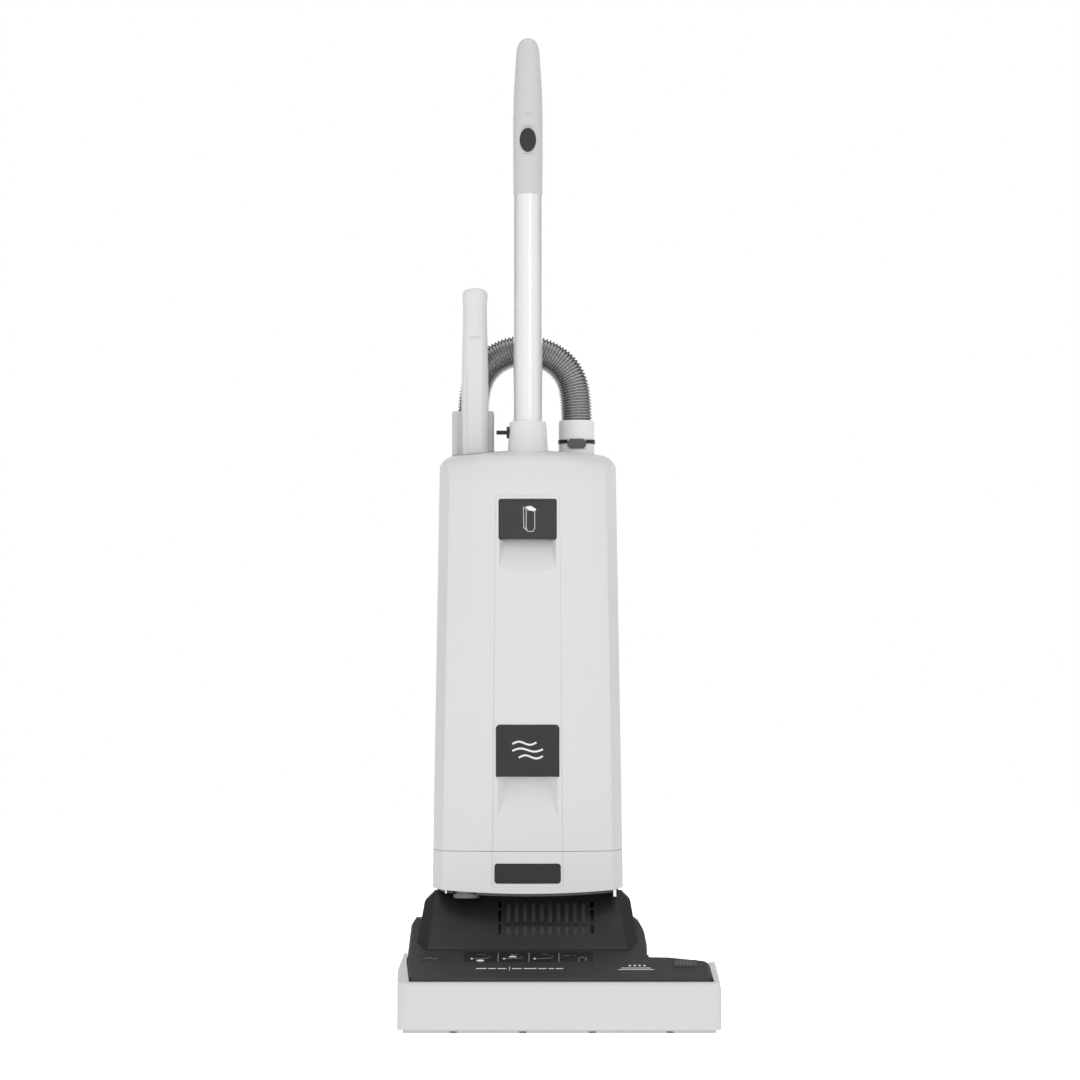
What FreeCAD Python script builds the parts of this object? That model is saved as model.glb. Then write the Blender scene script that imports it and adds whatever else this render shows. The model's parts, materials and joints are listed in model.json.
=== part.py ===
import FreeCAD, Part
import math
import os

# Upright vacuum cleaner: powered floor head, tilting bag casing, handle, suction wand, hose.
# Millimetres. X runs to the right, Y to the rear, Z up. The origin is on the floor, under
# the middle of the machine's box. "d" in a comment is the distance behind the front face.

V = FreeCAD.Vector

# ---- driving dimensions ----
HEAD_HALF = 197.5            # half of the head's width
FRONT = -185.0               # front face of the bumper
REAR = 185.0                 # tip of the foot pedal
BODY_X = -39.0               # the casing stands left of the head's middle
BODY_HALF_LOW = 120.0        # half widths of the casing, at the two ends of its loft
BODY_HALF_HIGH = 110.0
LOFT_LOW = 150.0
LOFT_HIGH = 760.0
BODY_FRONT = -70.0
BEVEL_WIDE = 12.8            # width of the bevels at the casing's front corners
BODY_REAR = 115.0
SPLIT_Y = 8.0                # front door and back shell meet here
SEAM_Z = 216.5               # door and lower casing meet here
ROOF_Z = 722.0
ROOF_R = 675.0               # radius of the roof's arch
BELLY_Z = 164.0              # lowest point of the casing's bowed bottom edge
CASING_WALL = 3.0
STRIP_DEPTH = 0.8            # central strip of the casing's front
SKIN = 2.5                   # wall of the head's covers
GAP = 0.3                    # space between bodies that move past each other
RUN = 0.05                   # radial clearance of a running shaft

PIVOT_Y = 95.0               # tilt axis of the casing
PIVOT_Z = 70.0
BRUSH_Y = -141.0
BRUSH_Z = 31.0
TUNNEL_R = 37.0              # outside of the brush tunnel
TUNNEL_END = 187.0
MOTOR_Y = -5.0
MOTOR_Z = 92.0
WHEEL_Y = 100.0
WHEEL_R = 32.0
TUBE_Y = 45.0                # handle tube
TUBE_R = 18.3
WAND_X = -106.4
WAND_Y = 50.0
HOSE_Y = 88.0
HOSE_R = 20.0
ELBOW_X = -109.0             # hose end on the wand
CUFF_X = 23.3                # hose end on the casing
ELBOW_SEAT_Z = 762.0
CUFF_SEAT_Z = 752.0

# Route of the hose: corner points of its centre line, from the wand's elbow to the cuff.
HOSE_ROUTE = [
    (-109.0, 762.0),
    (-109.0, 797.0),
    (-96.0, 829.0),
    (-70.5, 847.5),
    (-43.0, 852.0),
    (-15.5, 847.5),
    (10.5, 829.0),
    (23.3, 797.0),
    (23.3, 752.0),
]

BADGE = (309.0, 374.0, 39.5)     # low z, high z, half width of the badge plate
LATCH = (604.6, 653.2, 36.0)
PANEL = (176.5, 201.5, 41.25)


# ---- helpers ----
def box(x0, x1, y0, y1, z0, z1):
    return Part.makeBox(x1 - x0, y1 - y0, z1 - z0, V(x0, y0, z0))


def rod_x(r, x0, x1, y, z):
    return Part.makeCylinder(r, x1 - x0, V(x0, y, z), V(1, 0, 0))


def rod_y(r, y0, y1, x, z):
    return Part.makeCylinder(r, y1 - y0, V(x, y0, z), V(0, 1, 0))


def rod_z(r, z0, z1, x, y):
    return Part.makeCylinder(r, z1 - z0, V(x, y, z0), V(0, 0, 1))


def ring_x(outer, inner, x0, x1, y, z):
    return rod_x(outer, x0, x1, y, z).cut(rod_x(inner, x0 - 1, x1 + 1, y, z))


def ring_z(outer, inner, z0, z1, x, y):
    return rod_z(outer, z0, z1, x, y).cut(rod_z(inner, z0 - 1, z1 + 1, x, y))


def prism(points, step):
    closed = points + [points[0]]
    return Part.Face(Part.makePolygon(closed)).extrude(step)


def prism_x(points, x0, x1):
    return prism([V(x0, y, z) for y, z in points], V(x1 - x0, 0, 0))


def prism_y(points, y0, y1):
    return prism([V(x, y0, z) for x, z in points], V(0, y1 - y0, 0))


def prism_z(points, z0, z1):
    return prism([V(x, y, z0) for x, y in points], V(0, 0, z1 - z0))


def join(first, *others):
    return first.multiFuse(list(others)).removeSplitter()


def soften(shape, radius, pick):
    """Round the edges that pick chooses, or those of them that OCCT can round."""
    edges = [e for e in shape.Edges if pick(e.BoundBox, e)]
    try:
        done = shape.makeFillet(radius, edges)
        if done.isValid() and done.Volume > 0:
            return done
    except (Part.OCCError, ValueError):
        pass
    print("left sharp:", len(edges), "edges of", round(radius, 1))
    return shape


def upright(b, e):
    return b.ZLength > 2 and b.XLength < 0.01 and b.YLength < 0.01


def along_y(b, e):
    return b.YLength > 0.4 and b.XLength < 0.01 and b.ZLength < 0.01


def plate_y(x0, x1, z0, z1, y0, y1, corner):
    """A plate facing the front, with rounded corners."""
    return soften(box(x0, x1, y0, y1, z0, z1), corner, along_y)


def save(name, shape):
    """Write one node, as one solid or as a group of separate solids."""
    if not shape.isValid():
        print("INVALID", name)
    solids = shape.Solids
    out = solids[0] if len(solids) == 1 else Part.makeCompound(solids)
    out.exportStep("parts/" + name + ".step")


# ---- the casing's outer form ----
def body_plan(half, z, inset):
    """Plan of the casing: bowed front, bevelled front corners, rounded rear corners."""
    front = BODY_FRONT + inset
    knee_y = -48.0 + 0.8 * inset
    knee = half - BEVEL_WIDE - 0.9 * inset
    side = half - inset
    rear = BODY_REAR - inset
    r = 20.0 - inset
    q = r * (1 - math.sqrt(0.5))
    x = BODY_X
    bow = Part.Arc(V(x - knee, knee_y, z), V(x, front, z), V(x + knee, knee_y, z)).toShape()
    right = Part.Arc(V(x + side, rear - r, z), V(x + side - q, rear - q, z), V(x + side - r, rear, z))
    left = Part.Arc(V(x - side + r, rear, z), V(x - side + q, rear - q, z), V(x - side, rear - r, z))

    def line(x0, y0, x1, y1):
        return Part.LineSegment(V(x + x0, y0, z), V(x + x1, y1, z)).toShape()

    return Part.Wire([
        bow,
        line(knee, knee_y, side, 2),
        line(side, 2, side, rear - r),
        right.toShape(),
        line(side - r, rear, -side + r, rear),
        left.toShape(),
        line(-side, rear - r, -side, 2),
        line(-side, 2, -knee, knee_y),
    ])


def roof_prism(inset, rise, flat):
    """Everything under the arched roof; rise is its slope to the rear, flat the arch's half width."""
    edge = 150.0
    crown = ROOF_R - math.sqrt(ROOF_R ** 2 - flat ** 2)
    y0, y1, y_full = -200.0, 260.0, 60.0
    top = ROOF_Z - inset - (y_full - y0) * rise
    low = top - 700.0
    fall = crown + (edge - flat) * 1.15

    def point(x, z):
        return V(BODY_X + x, y0, z)

    corners = [point(flat, top - crown), point(edge, top - fall), point(edge, low)]
    corners += [point(-edge, low), point(-edge, top - fall), point(-flat, top - crown)]
    edges = [Part.Arc(corners[-1], point(0, top), corners[0]).toShape()]
    edges += [Part.LineSegment(a, b).toShape() for a, b in zip(corners, corners[1:])]
    return Part.Face(Part.Wire(edges)).extrude(V(0, y1 - y0, (y1 - y0) * rise))


def belly_prism(lift):
    """Everything under the bowed bottom edge."""
    edge, low_mid, low_side = 140.0, BELLY_Z, BELLY_Z + 6.8
    a = V(BODY_X - edge, -200, low_side + lift)
    m = V(BODY_X, -200, low_mid + lift)
    b = V(BODY_X + edge, -200, low_side + lift)
    c = V(BODY_X + edge, -200, 40)
    d = V(BODY_X - edge, -200, 40)
    wire = [Part.Arc(a, m, b).toShape()]
    wire += [Part.LineSegment(p, q).toShape() for p, q in ((b, c), (c, d), (d, a))]
    return Part.Face(Part.Wire(wire)).extrude(V(0, 460, 0))


def body_form(inset):
    """The whole casing as one solid, inset evenly from its outer skin."""
    plans = [body_plan(BODY_HALF_LOW, LOFT_LOW, inset), body_plan(BODY_HALF_HIGH, LOFT_HIGH, inset)]
    form = Part.makeLoft(plans, True, True)
    form = form.common(roof_prism(inset, 0.09, 140.0))
    form = form.common(roof_prism(inset, 0.0, 97.0))
    form = soften(form, 45 - inset, lambda b, e: b.ZMin > 600 and b.YMax < -40 and b.XLength > 100)
    form = soften(form, 4, lambda b, e: b.ZLength > 400 and b.YMax < -40)
    form = soften(form, 3, lambda b, e: b.ZMin > 640 and b.ZMax < 705 and b.YMax > 0 and b.YLength > 40)
    return form.cut(belly_prism(inset))


def scoop(z_low, z_high, half_open, half_deep, depth, grow):
    """Finger scoop: a ramp that gets deeper upwards, with slanted cheeks."""
    front = BODY_FRONT - 6
    rim = BODY_FRONT + 1.0
    deep = rim + depth + grow
    low = z_low - 1.6 * grow
    high = z_high + grow
    outer = half_open + grow
    inner = half_deep + grow
    x = BODY_X
    a, b = V(x - outer, rim, low), V(x + outer, rim, low)
    c, d = V(x + outer, rim, high), V(x - outer, rim, high)
    e, f = V(x - inner, deep, high), V(x + inner, deep, high)
    faces = [(a, b, c, d), (a, b, f, e), (a, d, e), (b, c, f), (d, c, f, e)]
    shell = Part.makeShell([Part.Face(Part.makePolygon(list(p) + [p[0]])) for p in faces])
    ramp = Part.makeSolid(shell)
    if ramp.Volume < 0:
        ramp.reverse()
    return ramp.fuse(box(x - outer, x + outer, front, rim, low, high)) if grow == 0 else ramp


# ---- floor head: covers and structure ----
COVER_PLAN = [(-183, -177), (188.2, -177), (183, -127), (178, -122.5), (109, -106), (109.5, 62)]
COVER_PLAN += [(-184.6, 62), (-184.6, 0), (-187.5, -125)]
COVER_SIDES = [(-200, 0), (-200, 116), (-185.5, 121), (-179, 131), (94, 131), (100.5, 126)]
COVER_SIDES += [(106.5, 115), (109.5, 98), (110.5, 88), (200, 88), (200, 0)]
COVER_LOW = 60.0
COVER_FRONT_Z = 66.0
COVER_RISE = 0.36
COVER_TOP_Z = COVER_FRONT_Z + COVER_RISE * 177
HUMP_TOP = 159.4
HUMP_DROP = BELLY_Z - HUMP_TOP  # the hump's top follows the casing's bowed bottom edge, this far below
HUMP_CLIP = 175.0            # its outlines run up to here before the bowed top cuts them
HUMP_PLAN = [(-162.6, -95), (85.4, -95), (98.5, -80), (99, 62), (-177, 62), (-176.8, -80)]
HUMP_FOOT_Z = 97.0           # the vertical foot of the hump's front ends here
HUMP_EDGE_Y = -27.0          # and its slope ends here


def cover_z(y):
    """Height of the cover's sloped top at y."""
    return COVER_FRONT_Z + COVER_RISE * (y + 177)


def shrunk(points, inset):
    """The plan outline, drawn in evenly."""
    if inset == 0:
        return points
    wire = Part.makePolygon([V(x, y, 0) for x, y in points + [points[0]]])
    drawn = wire.makeOffset2D(-inset, 2)
    ordered = Part.Wire(Part.sortEdges(drawn.Edges)[0]).OrderedVertexes
    return [(v.X, v.Y) for v in ordered]


def under_cover(low, inset):
    """The YZ profile of everything under the cover's top."""
    drop = 1.06 * inset
    profile = [(-190, low), (-190, cover_z(-190) - drop), (0, COVER_TOP_Z - drop)]
    profile += [(45 - inset / 2, COVER_TOP_Z - drop), (63 - inset, 102), (63 - inset, low)]
    return prism_x(profile, -210, 210)


def top_cover():
    outer = prism_z(COVER_PLAN, COVER_LOW, 140).common(under_cover(COVER_LOW, 0))
    outer = soften(outer.removeSplitter(), 8, lambda b, e: upright(b, e) and b.YMax < -170)
    outer = soften(outer, 6, lambda b, e: upright(b, e) and b.YMax < 50 and b.XMin > 90)
    outer = soften(outer, 3, lambda b, e: b.ZMin > 64 and b.YMax < 0.5 and b.YMin < -0.5)
    outer = outer.common(prism_y(COVER_SIDES, -200, 80))
    inner = prism_z(shrunk(COVER_PLAN, SKIN), COVER_LOW - 1, 140).common(under_cover(COVER_LOW - 1, SKIN))
    inner = inner.common(prism_y(shrunk(COVER_SIDES, SKIN), -200, 80))
    cover = outer.cut(inner).cut(hump_form(SKIN))
    cover = cover.cut(button_pocket(0.35))
    return cover.cut(strip_pocket()).cut(tunnel_profile(TUNNEL_R, 0, -TUNNEL_END, TUNNEL_END))


def strip_pocket():
    """The shallow seats of the information strip and the small plate at its left."""
    seats = []
    for x0, x1, y0, y1 in ((-117, 41, -131, -100), (-173, -143, -128, -109)):
        seats.append(slope_block(x0, x1, y0, y1, -1.2, 3))
    return seats[0].fuse(seats[1])


def slope_block(x0, x1, y0, y1, below, above):
    """A block that lies along the cover's slope, from below it to above it."""
    points = [(y0, cover_z(y0) + below), (y1, cover_z(y1) + below)]
    points += [(y1, cover_z(y1) + above), (y0, cover_z(y0) + above)]
    return prism_x(points, x0, x1)


def info_strip():
    return slope_block(-116.7, 40.7, -130.7, -100.3, -1.2, 0.3).fuse(
        slope_block(-172.7, -143.3, -127.7, -109.3, -1.2, 0.3))


def button_pocket(gap):
    return slope_block(141 - gap, 169 + gap, -141 - gap, -125 + gap, -20, 20)


def brush_release_button():
    cap = slope_block(141, 169, -141, -125, -6, 1.2)
    stem = box(151, 159, -137, -129, 72.5, 79)
    return join(cap, stem)


def beyond(point, normal):
    """A large block on the far side of the plane through point."""
    reach = 400.0
    block = Part.makeBox(2 * reach, 2 * reach, reach, V(-reach, -reach, 0))
    block.Placement = FreeCAD.Placement(point, FreeCAD.Rotation(V(0, 0, 1), normal))
    return block


def hump_form(inset):
    """Motor hump: sloped front, leaning sides, and a leaning bevel at each front corner."""
    edge_y = HUMP_EDGE_Y + (HUMP_CLIP - HUMP_TOP) * (HUMP_EDGE_Y + 95) / (HUMP_TOP - HUMP_FOOT_Z)
    foot = [(-95 + inset, 60), (-95 + inset, HUMP_FOOT_Z), (edge_y + inset * 0.6, HUMP_CLIP - inset)]
    foot += [(32, HUMP_CLIP - inset), (62 - inset, 138), (62 - inset, 60)]
    form = prism_x(foot, -200, 120).common(belly_prism(-HUMP_DROP - inset))
    sides = [(-177 + inset, 60), (-176.8 + inset, 99), (-168 + inset, 152.5), (-145.5, HUMP_CLIP - inset)]
    sides += [(68.5, HUMP_CLIP - inset), (89.5 - inset, 154), (98.7 - inset, 99), (99 - inset, 60)]
    form = form.common(prism_y(sides, -120, 80))
    form = form.common(prism_z(shrunk(HUMP_PLAN, inset), 60, 200))
    rise = V(0, HUMP_EDGE_Y + 95, HUMP_TOP - HUMP_FOOT_Z)
    for x, lean, out in ((-162.6, 7.5, -14.0), (85.4, -12.9, 13.1)):
        normal = (rise + V(lean, 0, 0)).cross(V(out, 15, 0))
        if normal.z < 0:
            normal = normal * -1
        normal.normalize()
        form = form.cut(beyond(V(x, -95, HUMP_FOOT_Z) - normal * inset, normal))
    return form.removeSplitter()


def grille_slots():
    """Louvres of the motor's air outlet: two rows of tall slots and two side columns."""
    slots, pitch, left, width = 10, 10.4, -65.5, 5.2
    front, rear = -100.0, HUMP_EDGE_Y
    cuts = []
    for i in range(slots):
        x = left + i * pitch
        cuts.append(box(x, x + width, front, rear, 113.5, 125.5))
        cuts.append(box(x, x + width, front, rear, 128.5, 151.5))
    for x, wide in ((-75.4, 3.2), (39.0, 4.6)):
        for z0, z1 in ((115, 126.5), (129, 142.5), (145.5, 153)):
            cuts.append(box(x, x + wide, front, rear, z0, z1))
    return Part.makeCompound(cuts)


def exhaust_filter():
    """Foam sheet that lies against the inside of the grille."""
    run = V(0, HUMP_EDGE_Y + 0.6 * SKIN + 95 - SKIN, HUMP_TOP - SKIN - HUMP_FOOT_Z)
    run.normalize()
    inward = V(0, run.z, -run.y)
    foot = V(-68.5, SKIN - 95, HUMP_FOOT_Z) + inward * RUN
    corners = [foot + run * 20, foot + run * 84, foot + run * 84 + inward * 3, foot + run * 20 + inward * 3]
    return prism(corners, V(105.5, 0, 0))


def motor_hump():
    outer = hump_form(0)
    outer = soften(outer, 4, lambda b, e: b.ZMin > HUMP_TOP - 1 and b.XLength > 100 and b.YMax < 20)
    shell = outer.cut(hump_form(SKIN)).cut(under_cover(0, 0))
    return shell.cut(grille_slots())


def front_bumper():
    inner_half = 189.2
    left_end, right_end = -105.0, -128.0
    top = [(FRONT, 4), (FRONT, 62), (-178, 62), (left_end, cover_z(left_end) + 1), (left_end, 4)]
    block = prism_x(top, -HEAD_HALF, HEAD_HALF)
    block = soften(block, 5, lambda b, e: b.ZMin > 61 and b.ZMax < 63 and b.YMax < -180)
    plan = box(-HEAD_HALF, HEAD_HALF, FRONT, 0, 0, 200)
    plan = soften(plan, 15, lambda b, e: upright(b, e) and b.YMax < -180)
    block = block.common(plan.cut(box(0, 300, right_end, 1, -1, 201)))
    for side, low, (top_x, top_z) in ((1, 52, (191, 84)), (-1, 75, (190.5, 94))):
        lean = V(side * (HEAD_HALF - top_x), 0, low - top_z).cross(V(0, side, 0))
        lean.normalize()
        block = block.cut(beyond(V(side * HEAD_HALF, 0, low), lean))
    hollow = box(-inner_half, inner_half, -178.3, 0, 0, COVER_LOW)
    hollow = soften(hollow, 2, lambda b, e: upright(b, e) and b.YMax < -170)
    mouth = prism_z(shrunk(COVER_PLAN, -GAP), COVER_LOW - 1, 200)
    block = block.cut(hollow.fuse(mouth))
    return block.cut(tunnel_profile(TUNNEL_R, 0, -TUNNEL_END, TUNNEL_END))


def base_plate():
    plate = box(-190.7, 190.7, -181, -104, 0, 4)
    plate = soften(plate, 11, lambda b, e: upright(b, e) and b.YMax < -170)
    window = box(-155, 175, -161, -121, -1, 5)
    window = soften(window, 5, upright)
    plate = plate.cut(window)
    for x in (-129, -44.6, 40, 134.7):
        plate = plate.cut(box(x - 4.25, x + 4.25, -190, -176, 0.6, 2.4))
    for x, y in screw_places():
        plate = plate.cut(rod_z(3.6, -1, 2.6, x, y))
        plate = plate.cut(rod_z(1.9, 2, 5, x, y))
    return plate


def screw_places():
    return [(x, y) for x in (-182, 60, 183) for y in (-173.5, -108.5)]


def base_screws():
    screws = []
    for x, y in screw_places():
        head = rod_z(3.6, 0.5, 2.6, x, y).cut(box(x - 2.6, x + 2.6, y - 0.5, y + 0.5, 0, 1.4))
        screws.append(join(head, rod_z(1.9, 2.6, 11, x, y)))
    return Part.makeCompound(screws)


def tunnel_profile(r, low, x0, x1):
    """D-shaped prism round the brush axis: an arch with straight legs."""
    left = V(x0, BRUSH_Y - r, BRUSH_Z)
    right = V(x0, BRUSH_Y + r, BRUSH_Z)
    foot_l = V(x0, BRUSH_Y - r, low)
    foot_r = V(x0, BRUSH_Y + r, low)
    edges = [
        Part.Arc(left, V(x0, BRUSH_Y, BRUSH_Z + r), right).toShape(),
        Part.LineSegment(right, foot_r).toShape(),
        Part.LineSegment(foot_r, foot_l).toShape(),
        Part.LineSegment(foot_l, left).toShape(),
    ]
    return Part.Face(Part.Wire(edges)).extrude(V(x1 - x0, 0, 0))


def brush_housing():
    """Brush tunnel with a belt chamber at its left end."""
    room_r = TUNNEL_R - 3.0
    housing = tunnel_profile(TUNNEL_R, 4, -TUNNEL_END, TUNNEL_END)
    for x0, x1 in ((-184, -161), (-158, 181)):
        housing = housing.cut(tunnel_profile(room_r, 0, x0, x1))
    housing = housing.cut(rod_x(9, -162, -157, BRUSH_Y, BRUSH_Z))
    for x, y in screw_places():
        post = rod_z(4.2, 4, 16, x, y).cut(rod_z(1.9, 3, 11, x, y))
        housing = housing.fuse(post.common(tunnel_profile(TUNNEL_R, 4, -TUNNEL_END, TUNNEL_END)))
        housing = housing.cut(rod_z(1.9, 3, 11, x, y))
    for x0, x1 in ((-187, -178), (177, 187)):
        boss = rod_x(14, x0, x1, BRUSH_Y, BRUSH_Z)
        housing = housing.fuse(boss)
    housing = housing.cut(rod_x(10, -185, -177, BRUSH_Y, BRUSH_Z))
    housing = housing.cut(rod_x(10, 176, 184, BRUSH_Y, BRUSH_Z))
    housing = housing.cut(box(-69, -9, -110, -100, 13, 33))
    return housing.cut(box(-178, -163, -125, -100, 8, 80))


def shaft_bearings():
    """Bearings of the brush and of the motor."""
    places = ((10, -185, BRUSH_Y, BRUSH_Z), (10, 177, BRUSH_Y, BRUSH_Z))
    places += ((11, -147, MOTOR_Y, MOTOR_Z), (11, 9, MOTOR_Y, MOTOR_Z))
    rings = []
    for r, x, y, z in places:
        wide = 7 if r == 10 else 8
        rings.append(ring_x(r, 4 + RUN, x, x + wide, y, z))
    return Part.makeCompound(rings)


def suction_duct():
    duct = box(-69, -9, -107, 86, 13, 33).cut(box(-66, -12, -108, 83, 15.5, 30.5))
    riser = box(-69, -9, 60, 86, 13, 56).cut(box(-66, -12, 63, 83, 15.5, 57))
    duct = duct.cut(box(-66, -12, 63, 83, 15.5, 40))
    duct = join(duct, riser)
    return duct.cut(rod_x(24 + GAP, -110, 40, PIVOT_Y, PIVOT_Z))


def rear_chassis():
    """Tray under the motor, with the wheel carriers, pivot ears and pedal bearing."""
    floor_z, wall = 8.0, 3.0
    plan = prism_z(COVER_PLAN, floor_z, COVER_LOW).common(box(-200, 200, -103.7, 62, 0, 100))
    room = prism_z(shrunk(COVER_PLAN, wall), floor_z + wall, 100).common(
        box(-200, 200, -103.7 + wall, 62 - wall, 0, 100))
    tray = plan.cut(room)
    tongue = box(-160, 82, 58, 124, floor_z, floor_z + wall)
    left_wall = box(-160, -156, 58, 124, floor_z, 52)
    right_wall = box(78, 82, 58, 124, floor_z, 52)
    lug = join(rod_x(10, 78, 82, 105, 58), box(78, 82, 95, 115, 40, 58))
    tray = join(tray, tongue, left_wall, right_wall, lug, box(-160, 82, 121, 124, floor_z, 24))
    for x0, x1 in ((-112, -99.5), (21.5, 34)):
        ear = join(rod_x(15, x0, x1, PIVOT_Y, PIVOT_Z), box(x0, x1, 80, 110, floor_z, PIVOT_Z))
        tray = tray.fuse(ear)
    for x0, x1 in ((-125, -121), (5, 9)):
        tray = tray.fuse(box(x0, x1, -50, 40, floor_z, 66).cut(rod_x(46, x0 - 1, x1 + 1, MOTOR_Y, MOTOR_Z)))
    for x0, x1 in ((-160, -148), (70, 82)):
        tray = tray.fuse(rod_x(8, x0, x1, WHEEL_Y, WHEEL_R))
    tray = tray.cut(rod_x(4, -200, 120, WHEEL_Y, WHEEL_R))
    tray = tray.cut(rod_x(6, -120, 40, PIVOT_Y, PIVOT_Z))
    tray = tray.fuse(rod_x(3, 33, 79, 105, 58))
    tray = tray.cut(box(-69, -9, -110, -98, 13, 33))
    tray = tray.cut(box(-69, -9, 55, 70, 13, 61))
    tray = tray.cut(box(-178, -163, -105, -98, 12, 61))
    tray = tray.fuse(box(44, 69, 121, 140, floor_z, floor_z + wall))
    tray = tray.cut(box(46.5, 66.5, 120, 125, floor_z + wall, 25))
    for x in ROLLER_X:
        tray = tray.cut(box(x - 8, x + 8, -101, -83, 7, 16))
        for side in (-1, 1):
            lug_x = x + side * 9.5
            tray = tray.fuse(box(lug_x - 1.5, lug_x + 1.5, -97, -87, 5, 14))
        tray = tray.cut(rod_x(2 + RUN, x - 12, x + 12, ROLLER_Y, ROLLER_Z))
    return tray.removeSplitter()


ROLLER_X = (-144.0, 74.0)
ROLLER_Y = -92.0
ROLLER_Z = 8.0


def front_rollers():
    rollers = []
    for x in ROLLER_X:
        drum = soften(rod_x(7.7, x - 6, x + 6, ROLLER_Y, ROLLER_Z), 1.5, lambda b, e: b.XLength < 0.01)
        rollers.append(join(drum, rod_x(2, x - 10.8, x + 10.8, ROLLER_Y, ROLLER_Z)))
    return Part.makeCompound(rollers)


def wheel(x0, x1):
    """Rear wheel with a treaded rim, web and hub."""
    tyre = soften(rod_x(WHEEL_R, x0, x1, WHEEL_Y, WHEEL_R), 3, lambda b, e: b.XLength < 0.01)
    for side_x in (x0 - 1, x1 - 6):
        tyre = tyre.cut(ring_x(25, 11, side_x, side_x + 7, WHEEL_Y, WHEEL_R))
    return tyre.cut(rod_x(4 + RUN, x0 - 1, x1 + 1, WHEEL_Y, WHEEL_R))


def wheel_axle():
    axle = rod_x(4, -185, 107, WHEEL_Y, WHEEL_R)
    return soften(axle, 1, lambda b, e: b.XLength < 0.01)


def pivot_pins():
    return Part.makeCompound([
        rod_x(6, -112, -87, PIVOT_Y, PIVOT_Z),
        rod_x(6, 9, 34, PIVOT_Y, PIVOT_Z),
    ])


def foot_pedal():
    hub = rod_x(8, 36.5, 76.5, 105, 58)
    arm = prism_x([(105, 51), (150, 50), (REAR, 56), (REAR, 62), (150, 60), (105, 65)], 44, 69)
    pad = prism_x([(150, 51), (REAR, 56), (REAR, 62), (150, 60)], 34, 79)
    pad = soften(pad, 6, lambda b, e: b.ZLength > 4 and b.XLength < 0.01 and b.YMin > 180)
    pedal = join(hub, arm, pad)
    for i in range(4):
        y = 155 + i * 7
        pedal = pedal.fuse(rod_x(1.2, 38, 75, y, 60.2 + (y - 150) * 0.057))
    return pedal.removeSplitter().cut(rod_x(3 + RUN, 30, 85, 105, 58))


def pedal_spring():
    return ring_z(7.5, 6, 11, 50, 56.5, 130)


# ---- floor head: drive ----
def motor_can():
    can = rod_x(46, -150, 20, MOTOR_Y, MOTOR_Z).cut(rod_x(43, -147, 17, MOTOR_Y, MOTOR_Z))
    can = can.cut(rod_x(11, -149, -140, MOTOR_Y, MOTOR_Z)).cut(rod_x(7, -151, 21, MOTOR_Y, MOTOR_Z))
    for i in range(8):
        angle = math.radians(22.5 + 45 * i)
        y = MOTOR_Y + 30 * math.cos(angle)
        z = MOTOR_Z + 30 * math.sin(angle)
        can = can.cut(rod_x(6, -152, -146, y, z))
    return join(can, ring_x(14, 11, -147, -139, MOTOR_Y, MOTOR_Z), ring_x(14, 11, 9, 17, MOTOR_Y, MOTOR_Z))


def stator_core():
    core = ring_x(43, 28, -115, -35, MOTOR_Y, MOTOR_Z)
    for i in range(4):
        angle = math.radians(45 + 90 * i)
        y = MOTOR_Y + 33 * math.cos(angle)
        z = MOTOR_Z + 33 * math.sin(angle)
        core = core.cut(rod_x(4, -120, -30, y, z))
    return core


def armature():
    core = ring_x(27, 4, -115, -35, MOTOR_Y, MOTOR_Z)
    for i in range(12):
        angle = math.radians(30 * i)
        y = MOTOR_Y + 25.5 * math.cos(angle)
        z = MOTOR_Z + 25.5 * math.sin(angle)
        core = core.cut(rod_x(2, -116, -34, y, z))
    return join(core, ring_x(13, 4, -35, -12, MOTOR_Y, MOTOR_Z))


def rotor_shaft():
    return rod_x(4, -178, 76, MOTOR_Y, MOTOR_Z)


def pulley(x0, x1, r, bore, teeth, y, z):
    """Toothed pulley with a flange at each side."""
    wheel_body = rod_x(r, x0, x1, y, z)
    for i in range(teeth):
        angle = 2 * math.pi * i / teeth
        wheel_body = wheel_body.cut(
            rod_x(0.5, x0, x1, y + r * math.cos(angle), z + r * math.sin(angle)))
    flanges = [rod_x(r + 2, x0 - 1, x0, y, z), rod_x(r + 2, x1, x1 + 1, y, z)]
    return join(wheel_body, *flanges).cut(rod_x(bore, x0 - 2, x1 + 2, y, z))


BELT_PITCH = 2.5
BRUSH_TEETH = 48
MOTOR_TEETH = 12
BELT_X = (-175.0, -167.0)


def pulley_radius(teeth):
    return teeth * BELT_PITCH / (2 * math.pi)


def belt_loop(grow, x0, x1):
    """Open belt round both pulleys, as a solid of its outer form."""
    big = pulley_radius(BRUSH_TEETH) + grow
    small = pulley_radius(MOTOR_TEETH) + grow
    dy, dz = MOTOR_Y - BRUSH_Y, MOTOR_Z - BRUSH_Z
    length = math.hypot(dy, dz)
    lean = math.atan2(dz, dy)
    open_angle = math.acos((big - small) / length)

    def at(cy, cz, r, angle):
        return V(x0, cy + r * math.cos(angle), cz + r * math.sin(angle))

    a = at(BRUSH_Y, BRUSH_Z, big, lean + open_angle)
    b = at(MOTOR_Y, MOTOR_Z, small, lean + open_angle)
    c = at(MOTOR_Y, MOTOR_Z, small, lean)
    d = at(MOTOR_Y, MOTOR_Z, small, lean - open_angle)
    e = at(BRUSH_Y, BRUSH_Z, big, lean - open_angle)
    f = at(BRUSH_Y, BRUSH_Z, big, lean + math.pi)
    wire = Part.Wire([
        Part.LineSegment(a, b).toShape(),
        Part.Arc(b, c, d).toShape(),
        Part.LineSegment(d, e).toShape(),
        Part.Arc(e, f, a).toShape(),
    ])
    return Part.Face(wire).extrude(V(x1 - x0, 0, 0))


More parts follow.
